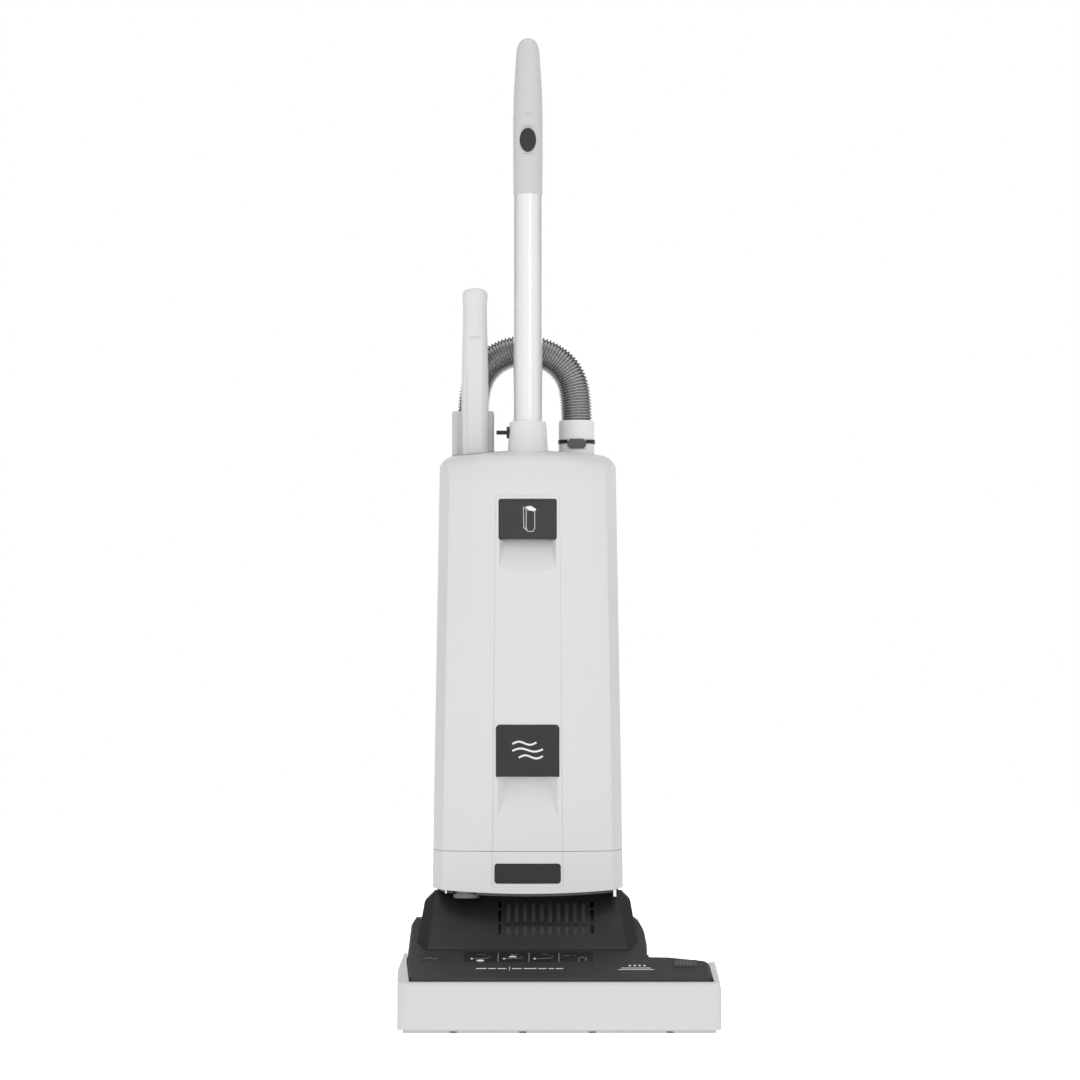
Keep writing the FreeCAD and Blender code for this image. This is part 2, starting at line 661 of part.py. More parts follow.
def drive_belt():
    x0, x1 = BELT_X
    return belt_loop(GAP + 1.5, x0 + 0.4, x1 - 0.4).cut(belt_loop(GAP, x0 - 1, x1 + 1))


def fan_impeller():
    fan = join(rod_x(48, 42, 44.5, MOTOR_Y, MOTOR_Z), rod_x(10, 42, 62, MOTOR_Y, MOTOR_Z))
    blade = box(44.5, 60, MOTOR_Y + 9, MOTOR_Y + 47, MOTOR_Z - 1, MOTOR_Z + 1)
    blades = []
    for i in range(9):
        turned = blade.copy()
        turned.rotate(V(0, MOTOR_Y, MOTOR_Z), V(1, 0, 0), i * 40)
        blades.append(turned)
    return join(fan, *blades).cut(rod_x(4, 40, 64, MOTOR_Y, MOTOR_Z))


def fan_shroud():
    shroud = rod_x(56, 20, 80, MOTOR_Y, MOTOR_Z).cut(rod_x(53.5, 36, 77.5, MOTOR_Y, MOTOR_Z))
    shroud = shroud.cut(rod_x(50, 20, 33.5, MOTOR_Y, MOTOR_Z))
    shroud = shroud.cut(rod_x(6, 15, 40, MOTOR_Y, MOTOR_Z))
    shroud = shroud.cut(rod_x(16, 70, 85, MOTOR_Y, MOTOR_Z))
    return shroud.cut(box(50, 70, MOTOR_Y - 12, MOTOR_Y + 12, MOTOR_Z + 40, 160))


def brush_core():
    drum = rod_x(17, -154, 173, BRUSH_Y, BRUSH_Z)
    drum = soften(drum, 2, lambda b, e: b.XLength < 0.01)
    return join(drum, rod_x(4, -184, 183, BRUSH_Y, BRUSH_Z))


def brush_bristles():
    """Two opposite rows of tufts, as plain strips of their outer size."""
    rows = []
    for side in (-1, 1):
        near = BRUSH_Y + side * 17
        far = BRUSH_Y + side * 30.5
        rows.append(box(-152, 171, min(near, far), max(near, far), BRUSH_Z - 3, BRUSH_Z + 3))
    strips = Part.makeCompound(rows).common(rod_x(30.5, -160, 180, BRUSH_Y, BRUSH_Z))
    return strips.cut(rod_x(17, -160, 180, BRUSH_Y, BRUSH_Z))


# ---- upright casing ----
def neck_form(grow):
    return box(-98 - grow, 20 + grow, 74 - grow, 104 + grow, PIVOT_Z, 172)


def neck():
    """Hollow neck on a barrel that turns on the pivot pins; two air ways side by side."""
    stem = neck_form(0)
    barrel = rod_x(24, -98, 20, PIVOT_Y, PIVOT_Z)
    neck_solid = join(stem, barrel)
    for x0, x1 in ((-84, -41), (-37, 6)):
        neck_solid = neck_solid.cut(rod_x(21, x0, x1, PIVOT_Y, PIVOT_Z))
        neck_solid = neck_solid.cut(box(x0, x1, 77, 101, PIVOT_Z, 173))
        neck_solid = neck_solid.cut(box(x0 + 4, x1 - 4, 60, 95, 40, PIVOT_Z - 6))
    return neck_solid.cut(rod_x(6 + RUN, -100, 22, PIVOT_Y, PIVOT_Z))


REAR_VENTS = 15


def lower_casing(outer, inner):
    tub = outer.common(box(-300, 300, -200, 200, 100, SEAM_Z - 0.2))
    room = inner.common(box(-300, 300, -200, 200, 100, SEAM_Z - 0.2 - CASING_WALL))
    tub = tub.cut(room).cut(neck_form(0))
    tub = tub.fuse(box(BODY_X - 44, BODY_X + 44, -68, -62, 171, 206).common(outer))
    tub = tub.cut(skin_plate(PANEL, 4, -1.0, 2.4)).cut(strip_recess())
    for i in range(REAR_VENTS):
        x = BODY_X + (i - (REAR_VENTS - 1) / 2) * 9.0
        tub = tub.cut(box(x - 2, x + 2, BODY_REAR - 6, BODY_REAR + 1, 180, 206))
    tub = tub.cut(rod_z(20, 205, 220, BODY_X, -10))
    tub = tub.cut(rod_z(CAP_R - 3, 150, 180, CAP_X, CAP_Y))
    for x in HINGE_TABS:
        tub = tub.cut(box(x - 9.5, x + 9.5, -58, -50, 213, 217))
    return tub.removeSplitter()


def skin_plate(place, corner, from_inset, to_inset):
    """A plate that follows the bowed front, between two insets from the skin."""
    z0, z1, half = place
    frame = plate_y(BODY_X - half, BODY_X + half, z0, z1, BODY_FRONT - 5, -45, corner)
    return frame.common(front_layer(from_inset, to_inset))


def front_layer(from_inset, to_inset):
    """A curved slab parallel to the bowed front of the casing."""
    def arc(inset, z):
        knee = BODY_HALF_LOW - BEVEL_WIDE - 0.9 * inset
        front = BODY_FRONT + inset
        back = -48.0 + 0.8 * inset
        return V(BODY_X - knee, back, z), V(BODY_X, front, z), V(BODY_X + knee, back, z)

    a0, a1, a2 = arc(from_inset, 120)
    b0, b1, b2 = arc(to_inset, 120)
    wire = Part.Wire([
        Part.Arc(a0, a1, a2).toShape(),
        Part.LineSegment(a2, b2).toShape(),
        Part.Arc(b2, b1, b0).toShape(),
        Part.LineSegment(b0, a0).toShape(),
    ])
    return Part.Face(wire).extrude(V(0, 0, 600))


def strip_recess():
    """The shallow central strip down the casing's front, round the latch, badge and panel."""
    corners = [(-44.5, 172), (44.5, 172), (40, 659.5), (-40, 659.5)]
    strip = prism_y([(BODY_X + x, z) for x, z in corners], -90, -50)
    strip = soften(strip, 5, along_y)
    return strip.common(front_layer(-1.0, STRIP_DEPTH))


def lower_panel():
    z0, z1, half = PANEL
    return skin_plate((z0 + 0.3, z1 - 0.3, half - 0.3), 3.7, 0.3, 2.4)


def bottom_gasket():
    """Dark seal under the casing, following its bowed edge."""
    slab = belly_prism(0).cut(belly_prism(-3.4))
    plan = Part.Face(body_plan(BODY_HALF_LOW - 1, 130, 5.0)).extrude(V(0, 0, 60))
    hole = Part.Face(body_plan(BODY_HALF_LOW - 1, 120, 15.0)).extrude(V(0, 0, 80))
    ring = slab.common(plan).cut(hole)
    ring = ring.cut(rod_z(CAP_R + 1, 150, 180, CAP_X, CAP_Y)).cut(stop_pads())
    return ring.cut(neck_form(0.5))


def stop_pads():
    pads = []
    for x, half, foot in ((-140.8, 1.0, 163.6), (69.7, 1.8, HUMP_TOP + GAP)):
        pad = box(x - half, x + half, -50, -40, foot, 172)
        pads.append(pad.common(belly_prism(0)))
    return Part.makeCompound(pads)


CAP_X = -115.5
CAP_Y = -45.0
CAP_R = 16.0
CAP_FOOT = 157.6


def inspection_cap():
    disc = rod_z(CAP_R, CAP_FOOT, 163.0, CAP_X, CAP_Y)
    disc = soften(disc, 1.5, lambda b, e: b.ZMax < CAP_FOOT + 0.1)
    disc = disc.cut(box(CAP_X - 9, CAP_X + 9, CAP_Y - 1.5, CAP_Y + 1.5, 150, CAP_FOOT + 2))
    return join(disc, rod_z(CAP_R - 3 - RUN, 163.0, 172, CAP_X, CAP_Y))


def door_shell(outer, inner):
    region = box(-300, 300, -200, SPLIT_Y, SEAM_Z + 0.3, 800)
    door = outer.cut(inner).common(region)
    for z0, z1, half_open, half_deep, depth in SCOOPS:
        lining = scoop(z0, z1, half_open, half_deep, depth, CASING_WALL - 0.5)
        door = door.fuse(lining.common(outer))
    z0, z1, half = LATCH
    lining = box(BODY_X - half - 3, BODY_X + half + 3, BODY_FRONT, -52, z0 - 2, z1 + LATCH_HEADROOM + 2.5)
    door = door.fuse(lining.common(outer))
    wide = half + GAP
    door = door.cut(plate_y(BODY_X - wide, BODY_X + wide, z0 - GAP, z1 + LATCH_HEADROOM, -90, -55, 2.8))
    for z0, z1, half_open, half_deep, depth in SCOOPS:
        door = door.cut(scoop(z0, z1, half_open, half_deep, depth, 0))
    door = door.cut(badge_form(0, -1.0)).cut(strip_recess())
    z0, z1, half = LATCH
    door = door.cut(rod_x(LATCH_PIN_R + RUN, BODY_X - half - 2.2, BODY_X + half + 2.2, LATCH_Y, LATCH_Z))
    for x in HINGE_TABS:
        tab = box(x - 8, x + 8, -57.6, -54.6, 209, 222)
        arm = box(x - 8, x + 8, -61.5, -56, 217, 222)
        door = join(door, tab, arm.common(outer))
    return door


HINGE_TABS = (BODY_X - 60.0, BODY_X + 60.0)


SCOOPS = [
    (564.0, 604.6, 36.3, 29.5, 14.0),
    (251.5, 309.0, 39.5, 24.0, 17.0),
]
LATCH_Y = -64.0              # axis of the latch's pins
LATCH_Z = 651.5
LATCH_PIN_R = 1.5
LATCH_HEADROOM = 2.2


def badge_form(slack, from_inset):
    """A curved plate with a straight foot and rounded top corners."""
    z0, z1, half = BADGE
    frame = box(BODY_X - half + slack, BODY_X + half - slack, -90, -45, z0 + slack, z1 - slack)
    frame = soften(frame, 5 - slack, lambda b, e: along_y(b, e) and b.ZMin > z1 - 1)
    return frame.common(front_layer(from_inset, 2.0))


def badge_plate():
    return badge_form(GAP, 0.0)


def door_latch():
    z0, z1, half = LATCH
    plate = skin_plate((z0, z1, half), 2.5, 0.0, 4.7)
    plate = soften(plate, 2.4, lambda b, e: b.ZMin > z1 - 0.01 and b.XLength > 50 and b.YMin < -68.5)
    pins = [rod_x(LATCH_PIN_R, BODY_X + min(a, b), BODY_X + max(a, b), LATCH_Y, LATCH_Z)
            for a, b in ((-half - 2, -22), (22, half + 2))]
    hook = box(BODY_X - 8, BODY_X + 8, -66, -57, 632, 638)
    return join(plate, hook, *pins)


def back_shell(outer, inner):
    region = box(-300, 300, SPLIT_Y + GAP, 200, SEAM_Z - 0.2, 800)
    shell = outer.cut(inner).common(region)
    sleeve = rod_z(20, 225, ROOF_Z, WAND_X, WAND_Y)
    boss = rod_z(22, 640, ROOF_Z, BODY_X, TUBE_Y)
    rib_a = box(WAND_X - 2, WAND_X + 2, WAND_Y, BODY_REAR - 1, 225, ROOF_Z)
    rib_b = box(BODY_X - 2, BODY_X + 2, TUBE_Y, BODY_REAR - 1, 640, ROOF_Z)
    stiff = Part.makeCompound([sleeve, boss, rib_a, rib_b]).common(outer)
    shell = shell.multiFuse(stiff.Solids)
    shell = shell.cut(rod_z(17.4, 220, 800, WAND_X, WAND_Y))
    shell = shell.cut(rod_z(TUBE_R, 636, 800, BODY_X, TUBE_Y))
    shell = shell.cut(rod_z(22.8, 700, 800, CUFF_X, HOSE_Y))
    shell = shell.cut(plate_y(BODY_X - 78, BODY_X + 78, 345, 600, BODY_REAR - 0.8, BODY_REAR + 5, 14))
    for x, z in shell_screw_places():
        post = rod_y(7, 60, BODY_REAR, x, z).common(outer)
        shell = shell.fuse(post)
        shell = shell.cut(rod_y(4.5, BODY_REAR - 4, BODY_REAR + 5, x, z))
        shell = shell.cut(rod_y(2, 80, BODY_REAR + 5, x, z))
    shell = shell.cut(rod_y(6 + RUN, BODY_REAR - 12, BODY_REAR + 1, BODY_X, HOOK_Z))
    return shell.removeSplitter()


def shell_screw_places():
    return [(BODY_X + side * half, z) for side in (-1, 1) for half, z in ((92, 250), (88, 690))]


def casing_screws():
    screws = []
    for x, z in shell_screw_places():
        head = rod_y(4.5, BODY_REAR - 4, BODY_REAR - 1, x, z)
        head = head.cut(box(x - 3, x + 3, BODY_REAR - 2.4, BODY_REAR, z - 0.6, z + 0.6))
        screws.append(join(head, rod_y(2, 82, BODY_REAR - 4, x, z)))
    return Part.makeCompound(screws)


HOOK_Z = 640.0


def hook_form(root_y, tip_y, z, lip):
    """Cord hook: arm to the rear and a lip; lip is positive upwards."""
    arm = box(BODY_X - 14, BODY_X + 14, root_y, tip_y, z - 4, z + 4)
    z0, z1 = (z, z + lip) if lip > 0 else (z + lip, z)
    tip = box(BODY_X - 14, BODY_X + 14, tip_y - 6, tip_y, z0, z1)
    hook = join(arm, tip)
    return soften(hook, 2.5, lambda b, e: b.XLength > 20)


def upper_cord_hook():
    hub = rod_y(19, BODY_REAR + GAP, BODY_REAR + 7, BODY_X, HOOK_Z)
    hub = soften(hub, 2, lambda b, e: b.YMin > BODY_REAR + 6)
    arm = hook_form(BODY_REAR + 4, BODY_REAR + 42, HOOK_Z, 28)
    axle = rod_y(6, BODY_REAR - 11, BODY_REAR + 5, BODY_X, HOOK_Z)
    return join(hub, arm, axle)


def lower_cord_hook():
    base = plate_y(BODY_X - 20, BODY_X + 20, 282, 322, BODY_REAR, BODY_REAR + 5, 6)
    return join(base, hook_form(BODY_REAR + 3, BODY_REAR + 42, 302, -28))


# ---- handle ----
def handle_socket():
    cone = Part.makeCone(26, 23.2, 46, V(BODY_X, TUBE_Y, 712), V(0, 0, 1))
    cone = soften(cone, 2, lambda b, e: b.ZMin > 757)
    return cone.cut(rod_z(TUBE_R, 700, 770, BODY_X, TUBE_Y)).cut(socket_seat())


def socket_seat():
    """What the roof takes away from the socket's foot."""
    return SHAPES["outer"]


def handle_tube():
    return ring_z(TUBE_R, TUBE_R - 1.6, 640, 1047.5, BODY_X, TUBE_Y)


def turned_form(profile, x, y):
    """Solid turned round a vertical line; profile is (radius, z) from foot to top."""
    curve = Part.BSplineCurve()
    curve.interpolate([V(r, 0, z) for r, z in profile])
    foot = V(0, 0, profile[0][1])
    top = V(0, 0, profile[-1][1])
    outline = Part.Wire([
        Part.LineSegment(foot, V(profile[0][0], 0, profile[0][1])).toShape(),
        curve.toShape(),
        Part.LineSegment(V(profile[-1][0], 0, profile[-1][1]), top).toShape(),
        Part.LineSegment(top, foot).toShape(),
    ])
    form = Part.Face(outline).revolve(V(0, 0, 0), V(0, 0, 1), 360)
    form.translate(V(x, y, 0))
    return form


def handle_grip():
    profile = [
        (18.6, 1047.5), (18.9, 1090), (18.9, 1140), (18.3, 1172), (17.0, 1196), (15.6, 1219),
        (13.9, 1234), (9.6, 1243), (3.0, 1247),
    ]
    grip = turned_form(profile, BODY_X, TUBE_Y)
    face_y = TUBE_Y - 17.6
    facet = plate_y(BODY_X - 13, BODY_X + 13, 1046, 1150, TUBE_Y - 30, face_y, 12)
    grip = grip.cut(facet)
    frame = plate_y(BODY_X - 12.75, BODY_X + 12.75, SWITCH_Z - 18, SWITCH_Z + 18, face_y - 9, face_y + 1, 2)
    grip = grip.cut(frame)
    grip = grip.cut(switch_form(10.4, 15.2, 0, 34))
    spigot = rod_z(TUBE_R - 1.6, 1012, 1048, BODY_X, TUBE_Y)
    grip = join(grip, spigot)
    grip = grip.cut(rod_z(8, 1000, 1094, BODY_X, TUBE_Y))
    return grip.cut(rod_y(6, TUBE_Y + 6, TUBE_Y + 25, BODY_X, GLAND_Z))


SWITCH_Z = 1115.5
GLAND_Z = 1070.0


def switch_form(half_x, half_z, y0, y1):
    """Upright oval prism that faces the front."""
    oval = Part.Ellipse(V(BODY_X, y0, SWITCH_Z + half_z), V(BODY_X + half_x, y0, SWITCH_Z),
                        V(BODY_X, y0, SWITCH_Z))
    return Part.Face(Part.Wire(oval.toShape())).extrude(V(0, y1 - y0, 0))


def power_switch():
    button = switch_form(10.1, 14.9, TUBE_Y - 19.6, TUBE_Y - 14.2)
    button = soften(button, 1.5, lambda b, e: b.YMax < TUBE_Y - 19.5)
    return button


def cord_inlet():
    gland = join(rod_y(6, TUBE_Y + 8, TUBE_Y + 20, BODY_X, GLAND_Z),
                 rod_y(9, TUBE_Y + 19.4, TUBE_Y + 27, BODY_X, GLAND_Z))
    gland = soften(gland, 1.5, lambda b, e: b.YMin > TUBE_Y + 26.9)
    return gland.cut(rod_y(3.8, TUBE_Y + 12, TUBE_Y + 30, BODY_X, GLAND_Z))


# ---- suction wand and hose ----
def wand_grip():
    profile = [
        (17.0, 700), (17.1, 790), (16.6, 840), (15.6, 880), (15.3, 900), (15.7, 911), (16.2, 918),
        (14.6, 924), (9.0, 927.2), (3.0, 928),
    ]
    grip = turned_form(profile, WAND_X, WAND_Y)
    face = join(box(-9.8, 9.8, -30, -13.4, 690, 856), rod_y(9.8, -30, -13.4, 0, 856))
    face.translate(V(WAND_X, WAND_Y, 0))
    grip = grip.cut(face).cut(rod_z(13, 690, 770, WAND_X, WAND_Y))
    return grip.cut(SHAPES["roof_gap"])


def wand_tube():
    """Tube with a thinner spigot that sits in the grip."""
    tube = join(rod_z(16, 232, 704, WAND_X, WAND_Y), rod_z(12.9, 704, 730, WAND_X, WAND_Y))
    return tube.cut(rod_z(14.5, 231, 700, WAND_X, WAND_Y)).cut(rod_z(11.4, 699, 731, WAND_X, WAND_Y))


def wand_elbow():
    """Block behind the wand that leads its air up into the hose."""
    block = box(-135.6, -82.3, 54, 111, 700, 772)
    block = soften(block, 7, lambda b, e: upright(b, e))
    block = soften(block, 2.5, lambda b, e: b.ZMin > 771)
    block = block.fuse(box(-125, -93, 45, 60, 700, 764)).removeSplitter()
    block = block.cut(SHAPES["wand_core"]).cut(SHAPES["roof_gap"])
    block = block.cut(rod_z(HOSE_R + 0.3, ELBOW_SEAT_Z, 780, ELBOW_X, HOSE_Y))
    block = block.cut(rod_z(16, 735, 790, ELBOW_X, HOSE_Y))
    return block.cut(rod_x(2.5, -88, -80, HOSE_Y - 12, 744))


def hose_cuff():
    cuff = rod_z(22.8, 712, 761.6, CUFF_X, HOSE_Y)
    cuff = soften(cuff, 1.5, lambda b, e: b.ZMin > 761)
    cuff = cuff.cut(rod_z(17, 700, 770, CUFF_X, HOSE_Y))
    cuff = cuff.cut(rod_z(HOSE_R + 0.3, CUFF_SEAT_Z, 770, CUFF_X, HOSE_Y))
    return cuff.cut(clip_pocket())


def clip_pocket():
    return box(CUFF_X - 12.4, CUFF_X + 12.4, HOSE_Y - 30, HOSE_Y - 19.5, 724.6, 737.4)


def cuff_band():
    return ring_z(23.7, 22.8, 731.5, 736.5, CUFF_X, HOSE_Y).cut(clip_pocket())


def cuff_clip():
    cut = 3.5
    points = [(-12, -6 + cut), (-12 + cut, -6), (12 - cut, -6), (12, -6 + cut)]
    points += [(12, 6 - cut), (12 - cut, 6), (-12 + cut, 6), (-12, 6 - cut)]
    clip = prism_y([(CUFF_X + x, 731 + z) for x, z in points], HOSE_Y - 25.5, HOSE_Y - 22.3)
    return soften(clip, 0.8, lambda b, e: b.YMax < HOSE_Y - 25.4)


def guide_peg():
    flange = rod_x(7.5, -66, -58, TUBE_Y, 744)
    flange = flange.cut(SHAPES["socket"]).cut(SHAPES["tube_room"])
    return join(flange, rod_x(2.6, -79, -65, TUBE_Y, 744))


def hose():
    """Round hose along its route: straight runs joined by tangent arcs."""
    points = [V(x, HOSE_Y, z) for x, z in HOSE_ROUTE]
    edges = []
    here = points[0]
    for before, corner, after in zip(points, points[1:], points[2:]):
        back = before - corner
        ahead = after - corner
        turn = math.pi - back.getAngle(ahead)
        reach = 0.45 * min(back.Length, ahead.Length)
        radius = reach / math.tan(turn / 2)
        print("hose arc radius", round(radius, 1))
        back.normalize()
        ahead.normalize()
        start = corner + back * reach
        end = corner + ahead * reach
        bisector = back + ahead
        bisector.normalize()
        centre = corner + bisector * (radius / math.cos(turn / 2))
        middle = centre - bisector * radius
        edges.append(Part.LineSegment(here, start).toShape())
        edges.append(Part.Arc(start, middle, end).toShape())
        here = end
    edges.append(Part.LineSegment(here, points[-1]).toShape())
    path = Part.Wire(edges)
    section = Part.Wire(Part.Circle(points[0], V(0, 0, 1), HOSE_R).toShape())
    body = path.makePipeShell([section], True, False)
    expected = math.pi * HOSE_R ** 2 * path.Length
    print("hose length", round(path.Length, 1), "volume ratio", round(body.Volume / expected, 4))
    return body


# ---- inside the casing ----
def dust_bag():
    bag = box(BODY_X - 90, BODY_X + 90, -46, 22, 245, 630)
    bag = soften(bag, 22, lambda b, e: b.YLength > 50)
    return soften(bag, 14, lambda b, e: b.YLength < 0.5)


def bag_nozzle():
    """Pipe from the hose cuff down and forward into the bag."""
    down = rod_z(18.5, 580, 712, CUFF_X, HOSE_Y)
    forward = rod_y(18.5, 22, HOSE_Y, CUFF_X, 600)
    pipe = join(down, forward)
    pipe = pipe.cut(rod_z(16.5, 590, 720, CUFF_X, HOSE_Y))
    return pipe.cut(rod_y(16.5, 20, HOSE_Y, CUFF_X, 600))


def motor_filter():
    block = box(-120, 0, -48, 50, 178, 204)
    for i in range(11):
        x = -116 + i * 10.4
        block = block.cut(box(x, x + 6, -44, 46, 196, 205))
    return block


def control_board():
    board = box(20, 64, -30, 40, 180, 182)
    parts = [box(25, 45, -22, 0, 182, 196), rod_z(6, 182, 200, 54, 20), box(28, 44, 14, 32, 182, 192)]
    return join(board, *parts)


SHAPES = {}


def build():
    outer = body_form(0.0)
    inner = body_form(CASING_WALL)
    SHAPES["outer"] = outer
    SHAPES["roof_gap"] = outer.translated(V(0, 0, GAP))
    SHAPES["tube_room"] = rod_z(TUBE_R, 700, 800, BODY_X, TUBE_Y)
    SHAPES["socket"] = handle_socket()
    SHAPES["wand_core"] = rod_z(17.3, 700, 900, WAND_X, WAND_Y)
    plain = [
        base_plate, base_screws, front_bumper, top_cover, motor_hump, info_strip, brush_housing,
        exhaust_filter, shaft_bearings, suction_duct, rear_chassis, wheel_axle, pivot_pins, pedal_spring,
        drive_belt, motor_can, stator_core, fan_shroud, brush_core, brush_bristles, rotor_shaft,
        armature, fan_impeller, front_rollers, foot_pedal, brush_release_button, neck, lower_panel,
        bottom_gasket, stop_pads, inspection_cap, handle_socket, handle_tube, handle_grip, cord_inlet,
        power_switch, hose_cuff, cuff_band, cuff_clip, guide_peg, motor_filter, dust_bag, bag_nozzle,
        lower_cord_hook, upper_cord_hook, control_board, casing_screws, badge_plate, door_latch,
        wand_grip, wand_elbow, wand_tube, hose,
    ]
    for make in plain:
        save(make.__name__, make())
    for make in (lower_casing, door_shell, back_shell):
        save(make.__name__, make(outer, inner))
    brush_r = pulley_radius(BRUSH_TEETH)
    motor_r = pulley_radius(MOTOR_TEETH)
    save("brush_pulley", pulley(*BELT_X, brush_r, 4, BRUSH_TEETH, BRUSH_Y, BRUSH_Z))
    save("motor_pulley", pulley(*BELT_X, motor_r, 4, MOTOR_TEETH, MOTOR_Y, MOTOR_Z))
    save("left_wheel", wheel(-184, -162.5))
    save("right_wheel", wheel(84.5, 106))


os.makedirs("parts", exist_ok=True)
build()
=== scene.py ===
import json
import math
import random

import bmesh
import bpy
import numpy as np
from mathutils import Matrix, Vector


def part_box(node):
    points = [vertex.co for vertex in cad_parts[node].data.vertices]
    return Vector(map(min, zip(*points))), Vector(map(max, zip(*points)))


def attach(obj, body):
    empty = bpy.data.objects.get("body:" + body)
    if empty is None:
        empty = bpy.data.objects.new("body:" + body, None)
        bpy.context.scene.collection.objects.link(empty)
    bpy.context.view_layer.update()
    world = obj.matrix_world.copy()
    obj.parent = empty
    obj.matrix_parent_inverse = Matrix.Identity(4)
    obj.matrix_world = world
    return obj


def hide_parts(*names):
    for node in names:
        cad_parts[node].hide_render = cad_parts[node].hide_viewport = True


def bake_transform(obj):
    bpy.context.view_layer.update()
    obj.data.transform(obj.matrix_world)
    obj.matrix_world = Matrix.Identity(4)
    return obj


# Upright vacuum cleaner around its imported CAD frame. Metres; X right, Y to the rear, Z up.

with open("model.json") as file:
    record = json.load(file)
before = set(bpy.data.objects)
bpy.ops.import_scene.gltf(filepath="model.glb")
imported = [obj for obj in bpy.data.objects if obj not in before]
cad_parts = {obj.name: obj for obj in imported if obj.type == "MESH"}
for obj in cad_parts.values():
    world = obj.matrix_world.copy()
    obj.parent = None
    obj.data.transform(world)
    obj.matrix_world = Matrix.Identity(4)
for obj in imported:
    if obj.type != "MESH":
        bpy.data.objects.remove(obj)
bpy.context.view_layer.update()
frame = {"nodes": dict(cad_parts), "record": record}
NODES = frame["nodes"]
RECORD = frame["record"]
MM = 0.001


# ---- camera ----
CAMERA_PLACE = (-0.0236, -5.685, 0.429)
LENS = 150.4
PITCH = 91.783               # degrees; 90 looks level


def make_camera():
    data = bpy.data.cameras.new("camera")
    data.lens = LENS
    data.sensor_width = 36
    data.dof.use_dof = False
    camera = bpy.data.objects.new("camera", data)
    camera.location = CAMERA_PLACE
    camera.rotation_euler = (math.radians(PITCH), 0, 0)
    bpy.context.scene.collection.objects.link(camera)
    bpy.context.scene.camera = camera


make_camera()


# ---- mesh helpers ----
def new_object(name, verts, faces, smooth=True):
    mesh = bpy.data.meshes.new(name)
    mesh.from_pydata([tuple(v) for v in verts], [], faces)
    mesh.validate()
    obj = bpy.data.objects.new(name, mesh)
    bpy.context.scene.collection.objects.link(obj)
    if smooth:
        mesh.polygons.foreach_set("use_smooth", [True] * len(mesh.polygons))
    return obj


def curve_points(name, route, resolution):
    """Points along the smooth curve that has the route as its control points."""
    curve = bpy.data.curves.new(name, "CURVE")
    curve.dimensions = "3D"
    spline = curve.splines.new("NURBS")
    spline.points.add(len(route) - 1)
    for point, place in zip(spline.points, route):
        point.co = (*place, 1)
    spline.order_u = 3
    spline.use_endpoint_u = True
    spline.resolution_u = resolution
    obj = bpy.data.objects.new(name, curve)
    bpy.context.scene.collection.objects.link(obj)
    mesh = bpy.data.meshes.new_from_object(obj)
    points = [v.co.copy() for v in mesh.vertices]
    bpy.data.objects.remove(obj)
    bpy.data.meshes.remove(mesh)
    return points


def resampled(points, step):
    """The same line, with points every step along it."""
    line = np.array(points, float)
    run = np.concatenate([[0], np.cumsum(np.linalg.norm(np.diff(line, axis=0), axis=1))])
    at = np.linspace(0, run[-1], max(2, round(run[-1] / step) + 1))
    return np.stack([np.interp(at, run, line[:, k]) for k in range(3)], axis=1), at


def sweep(name, line, radii, sides):
    """Tube with closed ends through the line's points, with one radius for each point."""
    line = np.array(line, float)
    ahead = np.gradient(line, axis=0)
    ahead /= np.linalg.norm(ahead, axis=1)[:, None]
    side = np.cross(ahead[0], [0, 1, 0])
    if np.linalg.norm(side) < 0.1:
        side = np.cross(ahead[0], [1, 0, 0])
    turns = np.linspace(0, 2 * math.pi, sides, endpoint=False)
    verts = []
    for place, forward, radius in zip(line, ahead, radii):
        side = side - forward * np.dot(side, forward)
        side /= np.linalg.norm(side)
        up = np.cross(forward, side)
        for turn in turns:
            verts.append(place + radius * (math.cos(turn) * side + math.sin(turn) * up))
    faces = []
    for i in range(len(line) - 1):
        for k in range(sides):
            nxt = (k + 1) % sides
            faces.append((i * sides + k, i * sides + nxt, (i + 1) * sides + nxt, (i + 1) * sides + k))
    last = (len(line) - 1) * sides
    faces.append(tuple(range(sides))[::-1])
    faces.append(tuple(range(last, last + sides)))
    return new_object(name, verts, faces)


# ---- hose ----
HOSE_Y = 0.088
HOSE_ROUTE = [
    (-0.109, 0.762),
    (-0.109, 0.797),
    (-0.096, 0.829),
    (-0.0705, 0.8475),
    (-0.043, 0.852),
    (-0.0155, 0.8475),
    (0.0105, 0.829),
    (0.0233, 0.797),
    (0.0233, 0.752),
]
HOSE_CREST = 0.020
HOSE_ROOT = 0.0177
HOSE_PITCH = 0.0036
HOSE_SIDES = 72
LINE_STEP = 0.0004
# one rib: places along the pitch and heights from root to crest
RIDGE = [(0.0, 0.0), (0.12, 0.15), (0.25, 0.75), (0.38, 1.0), (0.62, 1.0), (0.75, 0.75), (0.88, 0.15)]


def make_hose():
    """Ribbed hose from the cuff on the casing, over the top, to the elbow on the wand."""
    route = [Vector((x, HOSE_Y, z)) for x, z in HOSE_ROUTE][::-1]
    smooth = curve_points("hose_line", route, 24)
    line, along = resampled(smooth, LINE_STEP)
    length = along[-1]
    ribs = round(length / HOSE_PITCH)
    pitch = length / ribs
    at, radii = [], []
    for i in range(ribs):
        for phase, height in RIDGE:
            at.append((i + phase) * pitch)
            radii.append(HOSE_ROOT + (HOSE_CREST - HOSE_ROOT) * height)
    at.append(length)
    radii.append(HOSE_ROOT)
    centre = np.stack([np.interp(at, along, line[:, k]) for k in range(3)], axis=1)
    hose = sweep("ribbed_hose", centre, radii, HOSE_SIDES)
    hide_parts("hose")
    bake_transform(hose)
    return hose


hose_piece = make_hose()


